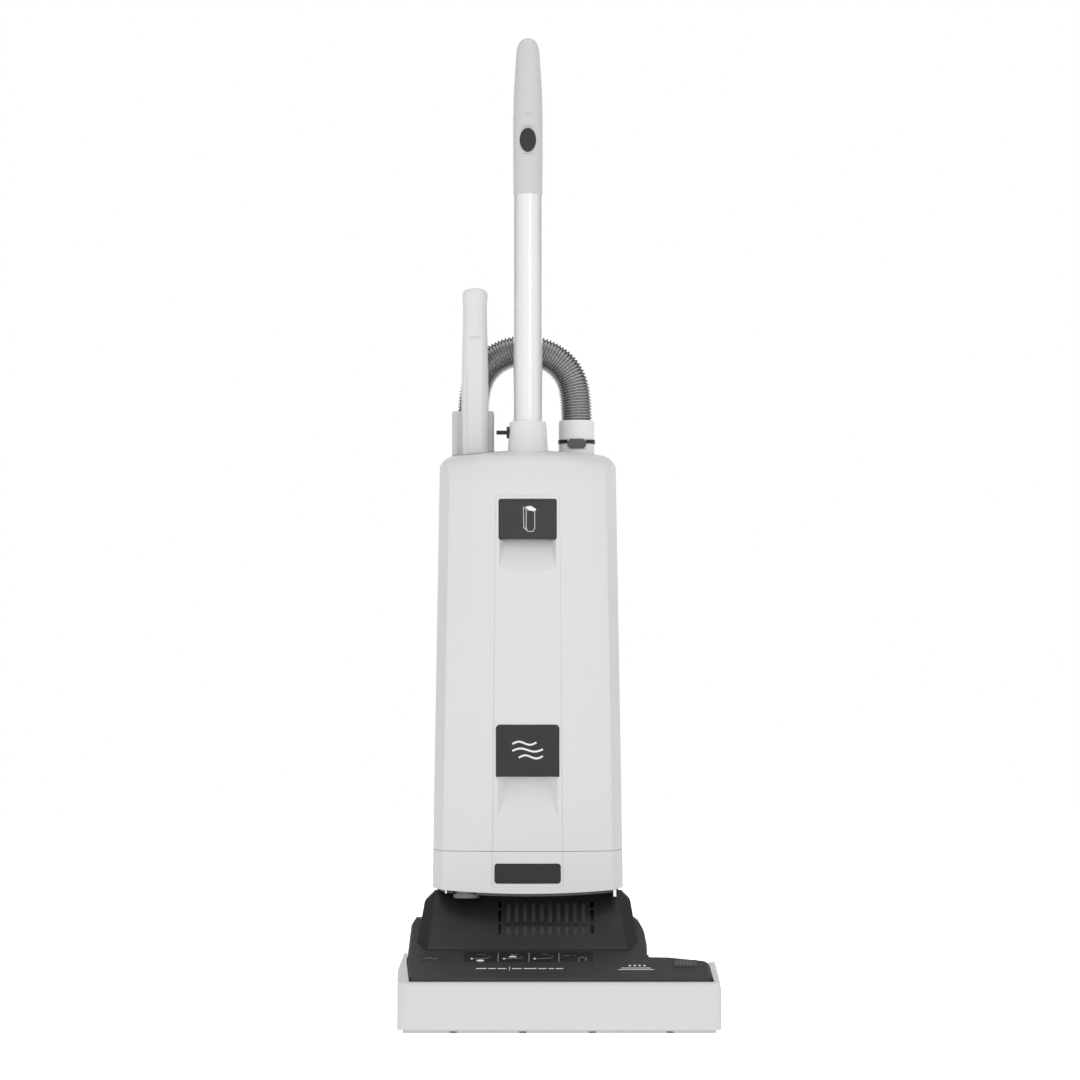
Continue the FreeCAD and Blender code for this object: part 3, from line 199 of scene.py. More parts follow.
# ---- materials ----
def linear(value):
    """Linear light of a screen value from 0 to 255."""
    c = value / 255
    return c / 12.92 if c <= 0.04045 else ((c + 0.055) / 1.055) ** 2.4


def grey(value, warm=0.0):
    """A grey of that screen value; warm shifts it towards yellow."""
    base = linear(value)
    return (base * (1 + warm), base, base * (1 - warm), 1)


COLOUR_A, COLOUR_B, COLOUR_OUT = 6, 7, 2     # colour sockets of a mix node


class Nodes:
    """Short hand for building one material's node tree."""

    def __init__(self, name):
        self.material = bpy.data.materials.new(name)
        self.material.use_nodes = True
        self.tree = self.material.node_tree
        self.tree.nodes.clear()
        self.shader = self.add("ShaderNodeBsdfPrincipled")
        out = self.add("ShaderNodeOutputMaterial")
        self.wire(self.shader, "BSDF", out, "Surface")
        self.coords = self.add("ShaderNodeTexCoord")

    def add(self, kind, **values):
        node = self.tree.nodes.new(kind)
        for key, value in values.items():
            if key in node.inputs:
                node.inputs[key].default_value = value
            else:
                setattr(node, key, value)
        return node

    def wire(self, a, out, b, inp):
        self.tree.links.new(a.outputs[out], b.inputs[inp])

    def noise(self, scale, detail=3.0, rough=0.55, stretch=None):
        node = self.add("ShaderNodeTexNoise", Scale=scale, Detail=detail, Roughness=rough)
        if stretch:
            mapping = self.add("ShaderNodeMapping")
            mapping.inputs["Scale"].default_value = stretch
            self.wire(self.coords, "Object", mapping, "Vector")
            self.wire(mapping, "Vector", node, "Vector")
        else:
            self.wire(self.coords, "Object", node, "Vector")
        return node

    def spread(self, source, low, high, from_low=0.3, from_high=0.7, out="Fac"):
        """The source's values, stretched to run from low to high."""
        node = self.add("ShaderNodeMapRange")
        node.inputs["From Min"].default_value = from_low
        node.inputs["From Max"].default_value = from_high
        node.inputs["To Min"].default_value = low
        node.inputs["To Max"].default_value = high
        self.wire(source, out, node, "Value")
        return node

    def two_tone(self, factor, factor_out, dark, light):
        mix = self.add("ShaderNodeMix", data_type="RGBA")
        mix.inputs[COLOUR_A].default_value = dark
        mix.inputs[COLOUR_B].default_value = light
        self.tree.links.new(factor.outputs[factor_out], mix.inputs[0])
        return mix

    def bump(self, height, out, strength, distance, below=None):
        node = self.add("ShaderNodeBump", Strength=strength, Distance=distance)
        self.wire(height, out, node, "Height")
        if below is not None:
            self.wire(below, "Normal", node, "Normal")
        return node


def scaled(colour, factor):
    return tuple(min(1.0, c * factor) for c in colour[:3]) + (1,)


def moulded(name, colour, rough, grain=0.00002, grain_scale=2200, edge_wear_and_highlight=0.0, mottling=0.02,
            specular=0.5, ior=1.5, edge=0.0005):
    """Moulded plastic: eroded grain, slight mottling, uneven gloss, rounded edges; edges lightened partly
    as rubbed wear and partly as a painted highlight.
    """
    n = Nodes(name)
    n.shader.inputs["Specular IOR Level"].default_value = specular
    n.shader.inputs["IOR"].default_value = ior
    cloud = n.noise(7, detail=4)
    tint = n.spread(cloud, 0, 1)
    mix = n.two_tone(tint, "Result", scaled(colour, 1 - mottling), scaled(colour, 1 + mottling))
    rounded = n.add("ShaderNodeBevel", samples=4, Radius=edge)
    colour_out = mix
    # Painted highlight and wear: where the bevel normal turns away from the surface normal, the colour is
    # lightened, partly as rubbed wear and partly as light caught on the edge.
    if edge_wear_and_highlight:
        flat = n.add("ShaderNodeNewGeometry")
        dot = n.add("ShaderNodeVectorMath", operation="DOT_PRODUCT")
        n.wire(rounded, "Normal", dot, 0)
        n.wire(flat, "Normal", dot, 1)
        rubbed_and_highlit_edges = n.spread(dot, 1, 0, 0.9, 1.0, out="Value")
        worn_and_highlit = n.two_tone(rubbed_and_highlit_edges, "Result", colour, scaled(colour, 1 + edge_wear_and_highlight))
        n.tree.links.new(mix.outputs[COLOUR_OUT], worn_and_highlit.inputs[COLOUR_A])
        colour_out = worn_and_highlit
    n.tree.links.new(colour_out.outputs[COLOUR_OUT], n.shader.inputs["Base Color"])
    smudge = n.noise(38, detail=5, rough=0.65)
    gloss = n.spread(smudge, rough - 0.05, rough + 0.06)
    n.wire(gloss, "Result", n.shader, "Roughness")
    fine = n.noise(grain_scale, detail=2, rough=0.5)
    bumped = n.bump(fine, "Fac", 1.0, grain, below=rounded)
    n.wire(bumped, "Normal", n.shader, "Normal")
    return n.material


def drawn_metal(name, colour, rough, stretch, metallic=1.0, lines=0.000004):
    """Drawn or turned metal with fine lines along one direction."""
    n = Nodes(name)
    n.shader.inputs["Metallic"].default_value = metallic
    streak = n.noise(900, detail=3, rough=0.6, stretch=stretch)
    cloud = n.noise(9, detail=3)
    tint = n.spread(cloud, 0, 1)
    mix = n.two_tone(tint, "Result", scaled(colour, 0.97), scaled(colour, 1.02))
    n.tree.links.new(mix.outputs[COLOUR_OUT], n.shader.inputs["Base Color"])
    gloss = n.spread(streak, rough - 0.05, rough + 0.07)
    n.wire(gloss, "Result", n.shader, "Roughness")
    rounded = n.add("ShaderNodeBevel", samples=4, Radius=0.0003)
    bumped = n.bump(streak, "Fac", 0.8, lines, below=rounded)
    n.wire(bumped, "Normal", n.shader, "Normal")
    return n.material


def rubber(name, colour, rough):
    """Matt rubber with dust in its pores."""
    n = Nodes(name)
    n.shader.inputs["Specular IOR Level"].default_value = 0.35
    pores = n.noise(1400, detail=3, rough=0.6)
    dust = n.noise(55, detail=6, rough=0.7)
    tint = n.spread(dust, 0, 1, 0.45, 0.75)
    mix = n.two_tone(tint, "Result", colour, scaled(colour, 1.35))
    n.tree.links.new(mix.outputs[COLOUR_OUT], n.shader.inputs["Base Color"])
    gloss = n.spread(dust, rough - 0.06, rough + 0.08)
    n.wire(gloss, "Result", n.shader, "Roughness")
    rounded = n.add("ShaderNodeBevel", samples=4, Radius=0.0006)
    bumped = n.bump(pores, "Fac", 1.0, 0.00005, below=rounded)
    n.wire(bumped, "Normal", n.shader, "Normal")
    return n.material


def fleece(name, colour):
    """Non-woven cloth: short random fibres pressed flat, with weld dots."""
    n = Nodes(name)
    n.shader.inputs["Specular IOR Level"].default_value = 0.2
    n.shader.inputs["Sheen Weight"].default_value = 0.35
    n.shader.inputs["Sheen Roughness"].default_value = 0.6
    fibre_a = n.noise(900, detail=4, rough=0.7, stretch=(1, 0.4, 0.18))
    fibre_b = n.noise(900, detail=4, rough=0.7, stretch=(0.18, 0.4, 1))
    both = n.add("ShaderNodeMath", operation="MAXIMUM")
    n.wire(fibre_a, "Fac", both, 0)
    n.wire(fibre_b, "Fac", both, 1)
    cloud = n.noise(45, detail=5)
    tint = n.spread(cloud, 0, 1)
    mix = n.two_tone(tint, "Result", scaled(colour, 0.9), scaled(colour, 1.04))
    n.tree.links.new(mix.outputs[COLOUR_OUT], n.shader.inputs["Base Color"])
    gloss = n.spread(both, 0.8, 0.95, out="Value")
    n.wire(gloss, "Result", n.shader, "Roughness")
    dots = n.add("ShaderNodeTexVoronoi", Scale=420)
    n.wire(n.coords, "Object", dots, "Vector")
    welds = n.spread(dots, 0, 1, 0.08, 0.22, out="Distance")
    low = n.bump(welds, "Result", 0.5, 0.00012)
    high = n.bump(both, "Value", 0.7, 0.0002, below=low)
    n.wire(high, "Normal", n.shader, "Normal")
    return n.material


def paper(name, colour):
    """Filter paper: soft creases and fine fibres."""
    n = Nodes(name)
    n.shader.inputs["Specular IOR Level"].default_value = 0.15
    fibre = n.noise(1500, detail=5, rough=0.75)
    cloud = n.noise(60, detail=5)
    tint = n.spread(cloud, 0, 1)
    mix = n.two_tone(tint, "Result", scaled(colour, 0.88), scaled(colour, 1.03))
    n.tree.links.new(mix.outputs[COLOUR_OUT], n.shader.inputs["Base Color"])
    gloss = n.spread(fibre, 0.82, 0.96)
    n.wire(gloss, "Result", n.shader, "Roughness")
    bumped = n.bump(fibre, "Fac", 0.8, 0.0001)
    n.wire(bumped, "Normal", n.shader, "Normal")
    return n.material


def circuit(name):
    """Circuit board lacquer with copper tracks under it."""
    n = Nodes(name)
    n.shader.inputs["Coat Weight"].default_value = 0.4
    tracks = n.add("ShaderNodeTexBrick", Scale=180)
    tracks.inputs["Color1"].default_value = (0.02, 0.13, 0.05, 1)
    tracks.inputs["Color2"].default_value = (0.03, 0.17, 0.07, 1)
    tracks.inputs["Mortar"].default_value = (0.06, 0.26, 0.10, 1)
    tracks.inputs["Mortar Size"].default_value = 0.03
    n.wire(n.coords, "Object", tracks, "Vector")
    n.wire(tracks, "Color", n.shader, "Base Color")
    cloud = n.noise(120, detail=3)
    gloss = n.spread(cloud, 0.28, 0.45)
    n.wire(gloss, "Result", n.shader, "Roughness")
    bumped = n.bump(tracks, "Fac", 0.4, 0.00004)
    n.wire(bumped, "Normal", n.shader, "Normal")
    return n.material


SHELL = grey(208, 0.006)

MATERIALS = {
    "shell_plastic": moulded("shell_plastic", SHELL, 0.45, grain=0.000012, mottling=0.008, specular=0.45),
    "cover_plastic": moulded("cover_plastic", grey(38), 0.5, grain=0.00003, edge_wear_and_highlight=0.2, mottling=0.04,
                             specular=0.4),
    "hump_plastic": moulded("hump_plastic", grey(24), 0.55, grain=0.00004, edge_wear_and_highlight=0.2, mottling=0.04,
                            specular=0.38),
    "label_plastic": moulded("label_plastic", grey(46), 0.5, grain=0.00002, edge_wear_and_highlight=0.3, mottling=0.03,
                             specular=0.4),
    "switch_plastic": moulded("switch_plastic", grey(26), 0.32, grain=0.000006, edge_wear_and_highlight=0.2, mottling=0.04),
    "cap_plastic": moulded("cap_plastic", grey(104), 0.5, grain=0.00003, mottling=0.04),
    "tube_metal": drawn_metal("tube_metal", (0.76, 0.765, 0.77, 1), 0.34, (1, 1, 0.02), metallic=0.45),
    "steel": drawn_metal("steel", (0.62, 0.62, 0.64, 1), 0.28, (0.05, 1, 1)),
    "motor_metal": moulded("motor_metal", grey(128), 0.4, grain=0.00003, edge_wear_and_highlight=0.3, mottling=0.04),
    "fan_plastic": moulded("fan_plastic", grey(205, 0.03), 0.5, mottling=0.04),
    "drive_plastic": moulded("drive_plastic", grey(60), 0.5, edge_wear_and_highlight=0.2, mottling=0.05),
    "bristle": moulded("bristle", grey(58), 0.38, mottling=0.2),
    "belt_rubber": rubber("belt_rubber", grey(40), 0.7),
    "tyre_rubber": rubber("tyre_rubber", grey(84), 0.72),
    "gasket_rubber": rubber("gasket_rubber", grey(72), 0.7),
    "hose_plastic": moulded("hose_plastic", grey(46), 0.2, grain=0.000004, mottling=0.06,
                            specular=1.0, ior=2.3, edge=0.0002),
    "bag_fleece": fleece("bag_fleece", (0.84, 0.83, 0.79, 1)),
    "filter_paper": paper("filter_paper", (0.80, 0.79, 0.73, 1)),
    "filter_foam": rubber("filter_foam", grey(66), 0.9),
    "board_green": circuit("board_green"),
}
PRINT = moulded("print_ink", grey(222), 0.5, grain=0.000006, mottling=0.05)
PRINT_DIM = moulded("print_ink_dim", grey(128), 0.5, grain=0.000006, mottling=0.05)
# Painted light: near-white pads stand where the bright backdrop shows through gaps below the casing.
BACKDROP_WHITE_PAD = moulded("pad_backdrop_white", grey(246), 0.4, grain=0.000006, mottling=0.01)
CARD = paper("collar_card", (0.47, 0.36, 0.24, 1))


def shell_shaded_copy(name, value):
    """The casing's plastic, set lighter or darker for one part to match how bright that part looks under
    the light: a painted light-and-shade copy.
    """
    return moulded(name, grey(value, 0.006), 0.45, grain=0.000012, mottling=0.008, specular=0.45)


FINISHES_AND_SHADED_COPIES = {
    # Painted light: the stop pads are near white, standing for backdrop seen through gaps.
    "stop_pads": BACKDROP_WHITE_PAD,
    # Painted light and shade: the grip, socket, cuff, elbow, wand grip, bumper and base plate take lighter
    # and darker copies of the casing plastic.
    "handle_grip": shell_shaded_copy("grip_plastic", 195),
    "handle_socket": shell_shaded_copy("socket_plastic", 222),
    "hose_cuff": shell_shaded_copy("cuff_plastic", 226),
    "wand_elbow": shell_shaded_copy("elbow_plastic", 193),
    "wand_grip": shell_shaded_copy("wand_plastic", 213),
    "front_bumper": shell_shaded_copy("bumper_plastic", 201),
    "base_plate": shell_shaded_copy("base_plastic", 190),
    "cuff_clip": moulded("clip_plastic", grey(78), 0.4, edge_wear_and_highlight=0.2, mottling=0.03),
    "lower_panel": moulded("panel_plastic", grey(30), 0.55, specular=0.4, edge_wear_and_highlight=0.2, mottling=0.04),
    "badge_plate": moulded("badge_plastic", grey(38), 0.55, specular=0.4, edge_wear_and_highlight=0.25, mottling=0.03),
    "brush_release_button": moulded("button_plastic", grey(62), 0.5, edge_wear_and_highlight=0.2, mottling=0.03),
}


def paint(obj, material):
    obj.data.materials.clear()
    obj.data.materials.append(material)


def paint_cad_nodes():
    for part in RECORD["subparts"]:
        node = NODES[part["node"]]
        paint(node, FINISHES_AND_SHADED_COPIES.get(part["node"], MATERIALS[part["material_slot"]]))


paint_cad_nodes()
paint(hose_piece, MATERIALS["hose_plastic"])


# ---- thin printed and raised marks ----
COVER_RISE = 0.36            # the head cover's rise over its run
COVER_EDGE_Y = -0.177
COVER_EDGE_Z = 0.066
BODY_X = -0.039
BODY_FRONT = -0.070
BOW_R = 0.2722               # radius of the casing's bowed front
MARK_SINK = 0.00015
MARK_RISE = 0.00012


def slope_surface(u, v, height):
    """The floor head's sloped top cover; v runs up the slope from its front edge."""
    along = math.hypot(1, COVER_RISE)
    y = COVER_EDGE_Y + v / along
    z = COVER_EDGE_Z + COVER_RISE * v / along
    return (u, y - height * COVER_RISE / along, z + height / along)


def front_surface(u, v, height):
    """The casing's bowed front; u is X and v is Z."""
    bow = BOW_R - math.sqrt(BOW_R ** 2 - (u - BODY_X) ** 2)
    return (u, BODY_FRONT + bow - height, v)


def stroke_mesh(bm, surface, points, width, closed, lift):
    """A flat ribbon with mitred corners that follows points."""
    pts = [Vector(p) for p in points]
    count = len(pts)
    rows = []
    for i, p in enumerate(pts):
        before = pts[i - 1] if i > 0 or closed else None
        after = pts[(i + 1) % count] if i < count - 1 or closed else None
        a = (p - before).normalized() if before is not None else (after - p).normalized()
        b = (after - p).normalized() if after is not None else a
        tangent = (a + b).normalized()
        normal = Vector((-tangent.y, tangent.x))
        reach = width / 2 / max(0.5, normal.dot(Vector((-a.y, a.x))))
        row = []
        for side, height in ((-1, -MARK_SINK), (-1, MARK_RISE), (1, MARK_RISE), (1, -MARK_SINK)):
            q = p + normal * side * reach
            row.append(bm.verts.new(surface(q.x, q.y, height + lift)))
        rows.append(row)
    for i in range(count if closed else count - 1):
        a, b = rows[i], rows[(i + 1) % count]
        for k in range(4):
            bm.faces.new((a[k], a[(k + 1) % 4], b[(k + 1) % 4], b[k]))
    if not closed:
        bm.faces.new(rows[0][::-1])
        bm.faces.new(rows[-1])


def fill_mesh(bm, surface, points, lift):
    """A flat filled outline."""
    top = [bm.verts.new(surface(x, y, MARK_RISE + lift)) for x, y in points]
    low = [bm.verts.new(surface(x, y, lift - MARK_SINK)) for x, y in points]
    bm.faces.new(top)
    bm.faces.new(low[::-1])
    for i in range(len(points)):
        k = (i + 1) % len(points)
        bm.faces.new((top[i], low[i], low[k], top[k]))


def mark(name, surface, body, material, strokes=(), fills=(), width=0.0006, lift=0.0):
    bm = bmesh.new()
    for points, closed in strokes:
        stroke_mesh(bm, surface, points, width, closed, lift)
    for points in fills:
        fill_mesh(bm, surface, points, lift)
    bmesh.ops.recalc_face_normals(bm, faces=bm.faces)
    mesh = bpy.data.meshes.new(name)
    bm.to_mesh(mesh)
    bm.free()
    obj = bpy.data.objects.new(name, mesh)
    bpy.context.scene.collection.objects.link(obj)
    paint(obj, material)
    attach(obj, body)
    return obj


def oval(cx, cy, rx, ry, count=20, start=0.0, sweep_angle=2 * math.pi):
    closed = abs(sweep_angle - 2 * math.pi) < 1e-6
    steps = count if closed else count - 1
    return [(cx + rx * math.cos(start + sweep_angle * i / steps),
             cy + ry * math.sin(start + sweep_angle * i / steps)) for i in range(count)]


def bar(x0, x1, y0, y1):
    return [(x0, y0), (x1, y0), (x1, y1), (x0, y1)]


def make_strip_marks():
    """Four plain pictograms between dividing lines, on the information strip."""
    low, high = 0.0500, 0.0795
    lift = 0.0003
    dividers = [([(x, low + 0.001), (x, high - 0.001)], False) for x in (-0.0751, -0.0372, -0.0003)]
    mark("strip_dividers", slope_surface, "head", PRINT_DIM, strokes=dividers,
         width=0.0011, lift=lift)
    cells = (-0.0960, -0.0562, -0.0188, 0.0202)
    machine, bright, faint = [], [], []
    for i, x in enumerate(cells[:3]):
        machine.append(([(x - 0.0105, 0.0605), (x - 0.002, 0.0612), (x + 0.011, 0.0628)], False))
        bright.append(oval(x - 0.0115, 0.0607, 0.0016, 0.0022, 12))
        faint.append(([(x - 0.006 + 0.002 * i, 0.0735), (x + 0.006, 0.0735)], False))
        faint.append(([(x + 0.0085, 0.0690), (x + 0.0125, 0.0690)], False))
    bright.append(oval(cells[0] - 0.001, 0.0548, 0.0048, 0.0030, 20))
    bright.append(oval(cells[1] - 0.001, 0.0650, 0.0050, 0.0048, 14, 0, math.pi))
    arch = [(cells[3] + 0.004, 0.0525), (cells[3] + 0.003, 0.0610), (cells[3] + 0.008, 0.0655),
            (cells[3] + 0.013, 0.0610), (cells[3] + 0.012, 0.0525)]
    machine.append((arch, False))
    faint.append(([(cells[3] - 0.015, 0.0700), (cells[3] - 0.007, 0.0700)], False))
    faint.append(([(cells[3] - 0.003, 0.0712), (cells[3] + 0.001, 0.0712)], False))
    mark("strip_pictograms", slope_surface, "head", PRINT_DIM, strokes=machine,
         width=0.0010, lift=lift)
    mark("strip_spots", slope_surface, "head", PRINT, fills=bright, lift=lift)
    mark("strip_captions", slope_surface, "head",
         moulded("print_ink_faint", grey(88), 0.5, mottling=0.05), strokes=faint,
         width=0.0016, lift=lift)


def make_cover_marks():
    """Plain rules and dots on the cover where a maker would print."""
    dashes = []
    x = -0.1020
    for i, length in enumerate((13, 9, 11, 0, 12, 16, 10, 7, 9)):
        if length:
            dashes.append(bar(x, x + length * MM, 0.0298, 0.0320))
            x += (length + 2.2) * MM
        else:
            dashes.append(bar(x + 0.0010, x + 0.0018, 0.0250, 0.0370))
            x += 0.0045
    mark("cover_rule", slope_surface, "head", PRINT, fills=dashes)
    dots = [oval(0.0865 + i * 0.0060, 0.0400, 0.0016, 0.0020, 12) for i in range(4)]
    dots += [bar(0.0760, 0.1120, 0.0318, 0.0334), bar(0.0720, 0.1160, 0.0272, 0.0288)]
    mark("cover_dots", slope_surface, "head", PRINT, fills=dots)
    arrow = [([(-0.1660, 0.0600), (-0.1600, 0.0640), (-0.1540, 0.0600), (-0.1500, 0.0625)], False)]
    mark("side_plate_mark", slope_surface, "head", PRINT_DIM, strokes=arrow,
         width=0.0010, lift=0.0003)
    lines = [([(x, 0.0448), (x, 0.0492)], False) for x in (0.1490, 0.1530, 0.1570, 0.1610)]
    mark("button_ridges", slope_surface, "brush_button", PRINT_DIM, strokes=lines,
         width=0.0008, lift=0.0012)


def make_latch_mark():
    """Outline of an upright bag, as seen from a corner."""
    x, z = -0.0360, 0.6300
    w, h = 0.0048, 0.0115
    front = [(x - w, z + h), (x - w, z - h), (x - w + 0.002, z - h - 0.004), (x + w - 0.001, z - h - 0.004),
             (x + w + 0.001, z - h), (x + w + 0.001, z + h - 0.0005)]
    side = [(x - w, z + h), (x - w - 0.0035, z + h + 0.003), (x - w - 0.003, z - h + 0.001),
            (x - w + 0.001, z - h - 0.003)]
    top = [(x - w - 0.0015, z + h + 0.0038), (x + 0.001, z + h + 0.0050), (x + w + 0.0032, z + h + 0.0006),
           (x + w + 0.001, z + h - 0.0022), (x - w + 0.0022, z + h - 0.0006)]
    strokes = [(front, False), (side, False)]
    ink = moulded("print_ink_mid", grey(176), 0.5)
    mark("latch_bag_outline", front_surface, "latch", ink, strokes=strokes, width=0.0012)
    mark("latch_bag_top", front_surface, "latch", PRINT, fills=[top])


def make_badge_mark():
    """Three rising air streams."""
    streams = []
    for k, (half, z) in enumerate(((0.0150, 0.3500), (0.0190, 0.3415), (0.0150, 0.3330))):
        shift = 0.004 * (k - 1)
        wave = []
        for i in range(25):
            t = i / 24
            x = BODY_X + shift - half + 2 * half * t
            wave.append((x, z + 0.0024 * math.sin(2 * math.pi * t) + 0.002 * t))
        streams.append((wave, False))
    mark("badge_streams", front_surface, "door", PRINT, strokes=streams, width=0.0024)


make_strip_marks()
make_cover_marks()
make_latch_mark()
make_badge_mark()


# ---- brush bristles ----
BRUSH_Y = -0.141
BRUSH_Z = 0.031
TUFT_PITCH = 0.0068
TUFT_ROOT = 0.0166           # radii of a tuft's ends about the brush's axis
TUFT_TIP = 0.0302
TUFT_R = 0.0021
TUFT_FIBRES = 14


def make_bristles():
    """Two rows of nylon tufts that wind round the brush core."""
    rng = random.Random(11)
    low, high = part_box("brush_bristles")
    middle, half = (low.x + high.x) / 2, (high.x - low.x) / 2
    verts, faces = [], []
    count = int((high.x - low.x - 0.006) / TUFT_PITCH)
    for row in range(2):
        for i in range(count + 1):
            x0 = low.x + 0.003 + i * TUFT_PITCH
            wind = math.pi * row + 0.55 * abs(x0 - middle) / half * math.pi / 2
            for k in range(TUFT_FIBRES):
                spot = rng.uniform(0, 2 * math.pi)
                away = TUFT_R * math.sqrt(rng.random())
                dx, da = away * math.cos(spot), away * math.sin(spot)
                tip_dx, tip_da = dx * 1.9 + rng.gauss(0, 0.0004), da * 1.9 + rng.gauss(0, 0.0004)
                tip_r = TUFT_TIP - rng.uniform(0, 0.0009)
                base = len(verts)
                for r, ox, oa, thick in ((TUFT_ROOT, dx, da, 0.00021), (tip_r, tip_dx, tip_da, 0.00013)):
                    angle = wind + oa / r
                    out = Vector((0, math.cos(angle), math.sin(angle)))
                    around = Vector((0, -math.sin(angle), math.cos(angle)))
                    centre = Vector((x0 + ox, BRUSH_Y, BRUSH_Z)) + out * r
                    for sx, sa in ((-1, -1), (1, -1), (1, 1), (-1, 1)):
                        verts.append(centre + Vector((sx * thick, 0, 0)) + around * sa * thick)
                for s in range(4):
                    t = (s + 1) % 4
                    faces.append((base + s, base + t, base + 4 + t, base + 4 + s))
                faces.append((base + 3, base + 2, base + 1, base))
                faces.append((base + 4, base + 5, base + 6, base + 7))
    tufts = new_object("bristle_tufts", verts, faces, smooth=False)
    paint(tufts, MATERIALS["bristle"])
    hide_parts("brush_bristles")
    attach(tufts, "brush")


make_bristles()


# ---- pedal spring ----
def make_pedal_spring():
    """Coil spring that stands under the pedal."""
    low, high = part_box("pedal_spring")
    centre = (low + high) / 2
    wire, turns = 0.0006, 9
    ring = (high.x - low.x) / 2 - wire - 0.0001
    line = []
    steps = turns * 24
    for i in range(steps + 1):
        t = i / steps
        closed = min(1.0, max(0.0, (t * turns - 1) / (turns - 2)))
        height = low.z + wire + (high.z - low.z - 2 * wire) * (0.94 * closed + 0.06 * t)
        angle = 2 * math.pi * turns * t
        line.append((centre.x + ring * math.cos(angle), centre.y + ring * math.sin(angle), height))
    spring = sweep("pedal_coil_spring", line, [wire] * len(line), 10)
    paint(spring, MATERIALS["steel"])
    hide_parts("pedal_spring")
    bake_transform(spring)


make_pedal_spring()


# ---- dust bag ----
BAG_INSET = Vector((0.010, 0.009, 0.010))
BAG_CORNER = 0.024
BAG_VOXEL = 0.006
SWELL_FRAMES, SWELL_PRESSURE, SWELL_CAP = 16, 4.0, 0.007
FLAT_FROM = 0.72             # share of the way out from which the bag flattens towards its seam
FLATTEN = 0.28
CREASE = 0.0012
SEAM_CORNER = 0.020
SEAM_WIDTH = 0.012
SEAM_HALF_THICK = 0.0006
COLLAR_Z = 0.600
COLLAR_THICK = 0.0024
COLLAR_HOLE_R = 0.0192
COLLAR_HALF_X = 0.0275
COLLAR_HALF_Z = 0.0290
COLLAR_CORNER_R = 0.0345
RING_WIRE_R = 0.0012
RING_STEPS = 48
RING_SIDES = 8


def select_only(obj):
    for other in bpy.context.selected_objects:
        other.select_set(False)
    obj.select_set(True)
    bpy.context.view_layer.objects.active = obj


def apply_modifier(obj, modifier):
    select_only(obj)
    bpy.ops.object.modifier_apply(modifier=modifier.name)


def rounded_block(name, low, high, corner):
    bm = bmesh.new()
    bmesh.ops.create_cube(bm, size=1.0)
    size = high - low
    for v in bm.verts:
        v.co = Vector((v.co.x * size.x, v.co.y * size.y, v.co.z * size.z)) + (low + high) / 2
    bmesh.ops.bevel(bm, geom=list(bm.edges), offset=corner, segments=5, profile=0.6, affect="EDGES")
    mesh = bpy.data.meshes.new(name)
    bm.to_mesh(mesh)
    bm.free()
    obj = bpy.data.objects.new(name, mesh)
    bpy.context.scene.collection.objects.link(obj)
    return obj


def inflate(obj, frames, pressure, cap):
    """Swell a closed cloth shell; no point moves further than cap."""
    start = np.array([v.co for v in obj.data.vertices])
    cloth = obj.modifiers.new("swell", "CLOTH")
    cloth.settings.use_pressure = True
    cloth.settings.uniform_pressure_force = pressure
    cloth.settings.tension_stiffness = 12
    cloth.settings.compression_stiffness = 3
    cloth.settings.bending_stiffness = 0.3
    cloth.settings.effector_weights.gravity = 0
    cloth.point_cache.frame_start = 1
    cloth.point_cache.frame_end = frames
    for i in range(1, frames + 1):
        bpy.context.scene.frame_set(i)
    depsgraph = bpy.context.evaluated_depsgraph_get()
    swollen = obj.evaluated_get(depsgraph).data
    moved = np.array([v.co for v in swollen.vertices])
    obj.modifiers.remove(cloth)
    bpy.context.scene.frame_set(1)
    shift = moved - start
    far = np.linalg.norm(shift, axis=1)
    scale = np.minimum(1.0, cap / np.maximum(far, 1e-9))
    placed = start + shift * scale[:, None]
    obj.data.vertices.foreach_set("co", placed.ravel())
    obj.data.update()


def make_dust_bag():
    """Fleece bag, filled and creased, with a welded seam and a card collar at the inlet."""
    low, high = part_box("dust_bag")
    bag = rounded_block("fleece_bag", low + BAG_INSET, high - BAG_INSET, BAG_CORNER)
    remesh = bag.modifiers.new("even", "REMESH")
    remesh.mode = "VOXEL"
    remesh.voxel_size = BAG_VOXEL
    apply_modifier(bag, remesh)
    inflate(bag, SWELL_FRAMES, SWELL_PRESSURE, SWELL_CAP)
    middle = (low + high) / 2
    half = (high - low) / 2
    for v in bag.data.vertices:
        u = v.co - middle
        edge = max(abs(u.x) / half.x, abs(u.z) / half.z)
        pull = max(0.0, edge - FLAT_FROM) / (1 - FLAT_FROM)
        crease = math.sin(u.z * 160 + 2.5 * math.sin(u.x * 40)) * 0.5 + math.sin(u.x * 190 + u.z * 30) * 0.5
        v.co.y -= u.y * FLATTEN * pull * pull
        v.co.y += CREASE * crease * pull * (1 if u.y > 0 else -1)
        v.co.y = min(max(v.co.y, low.y + 0.0008), high.y - 0.0026)
    smooth = bag.modifiers.new("finer", "SUBSURF")
    smooth.levels = 1
    smooth.render_levels = 1
    apply_modifier(bag, smooth)
    bag.data.polygons.foreach_set("use_smooth", [True] * len(bag.data.polygons))
    paint(bag, MATERIALS["bag_fleece"])
    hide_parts("dust_bag")
    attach(bag, "casing")
    make_bag_seam(low, high)
    make_bag_collar(high)


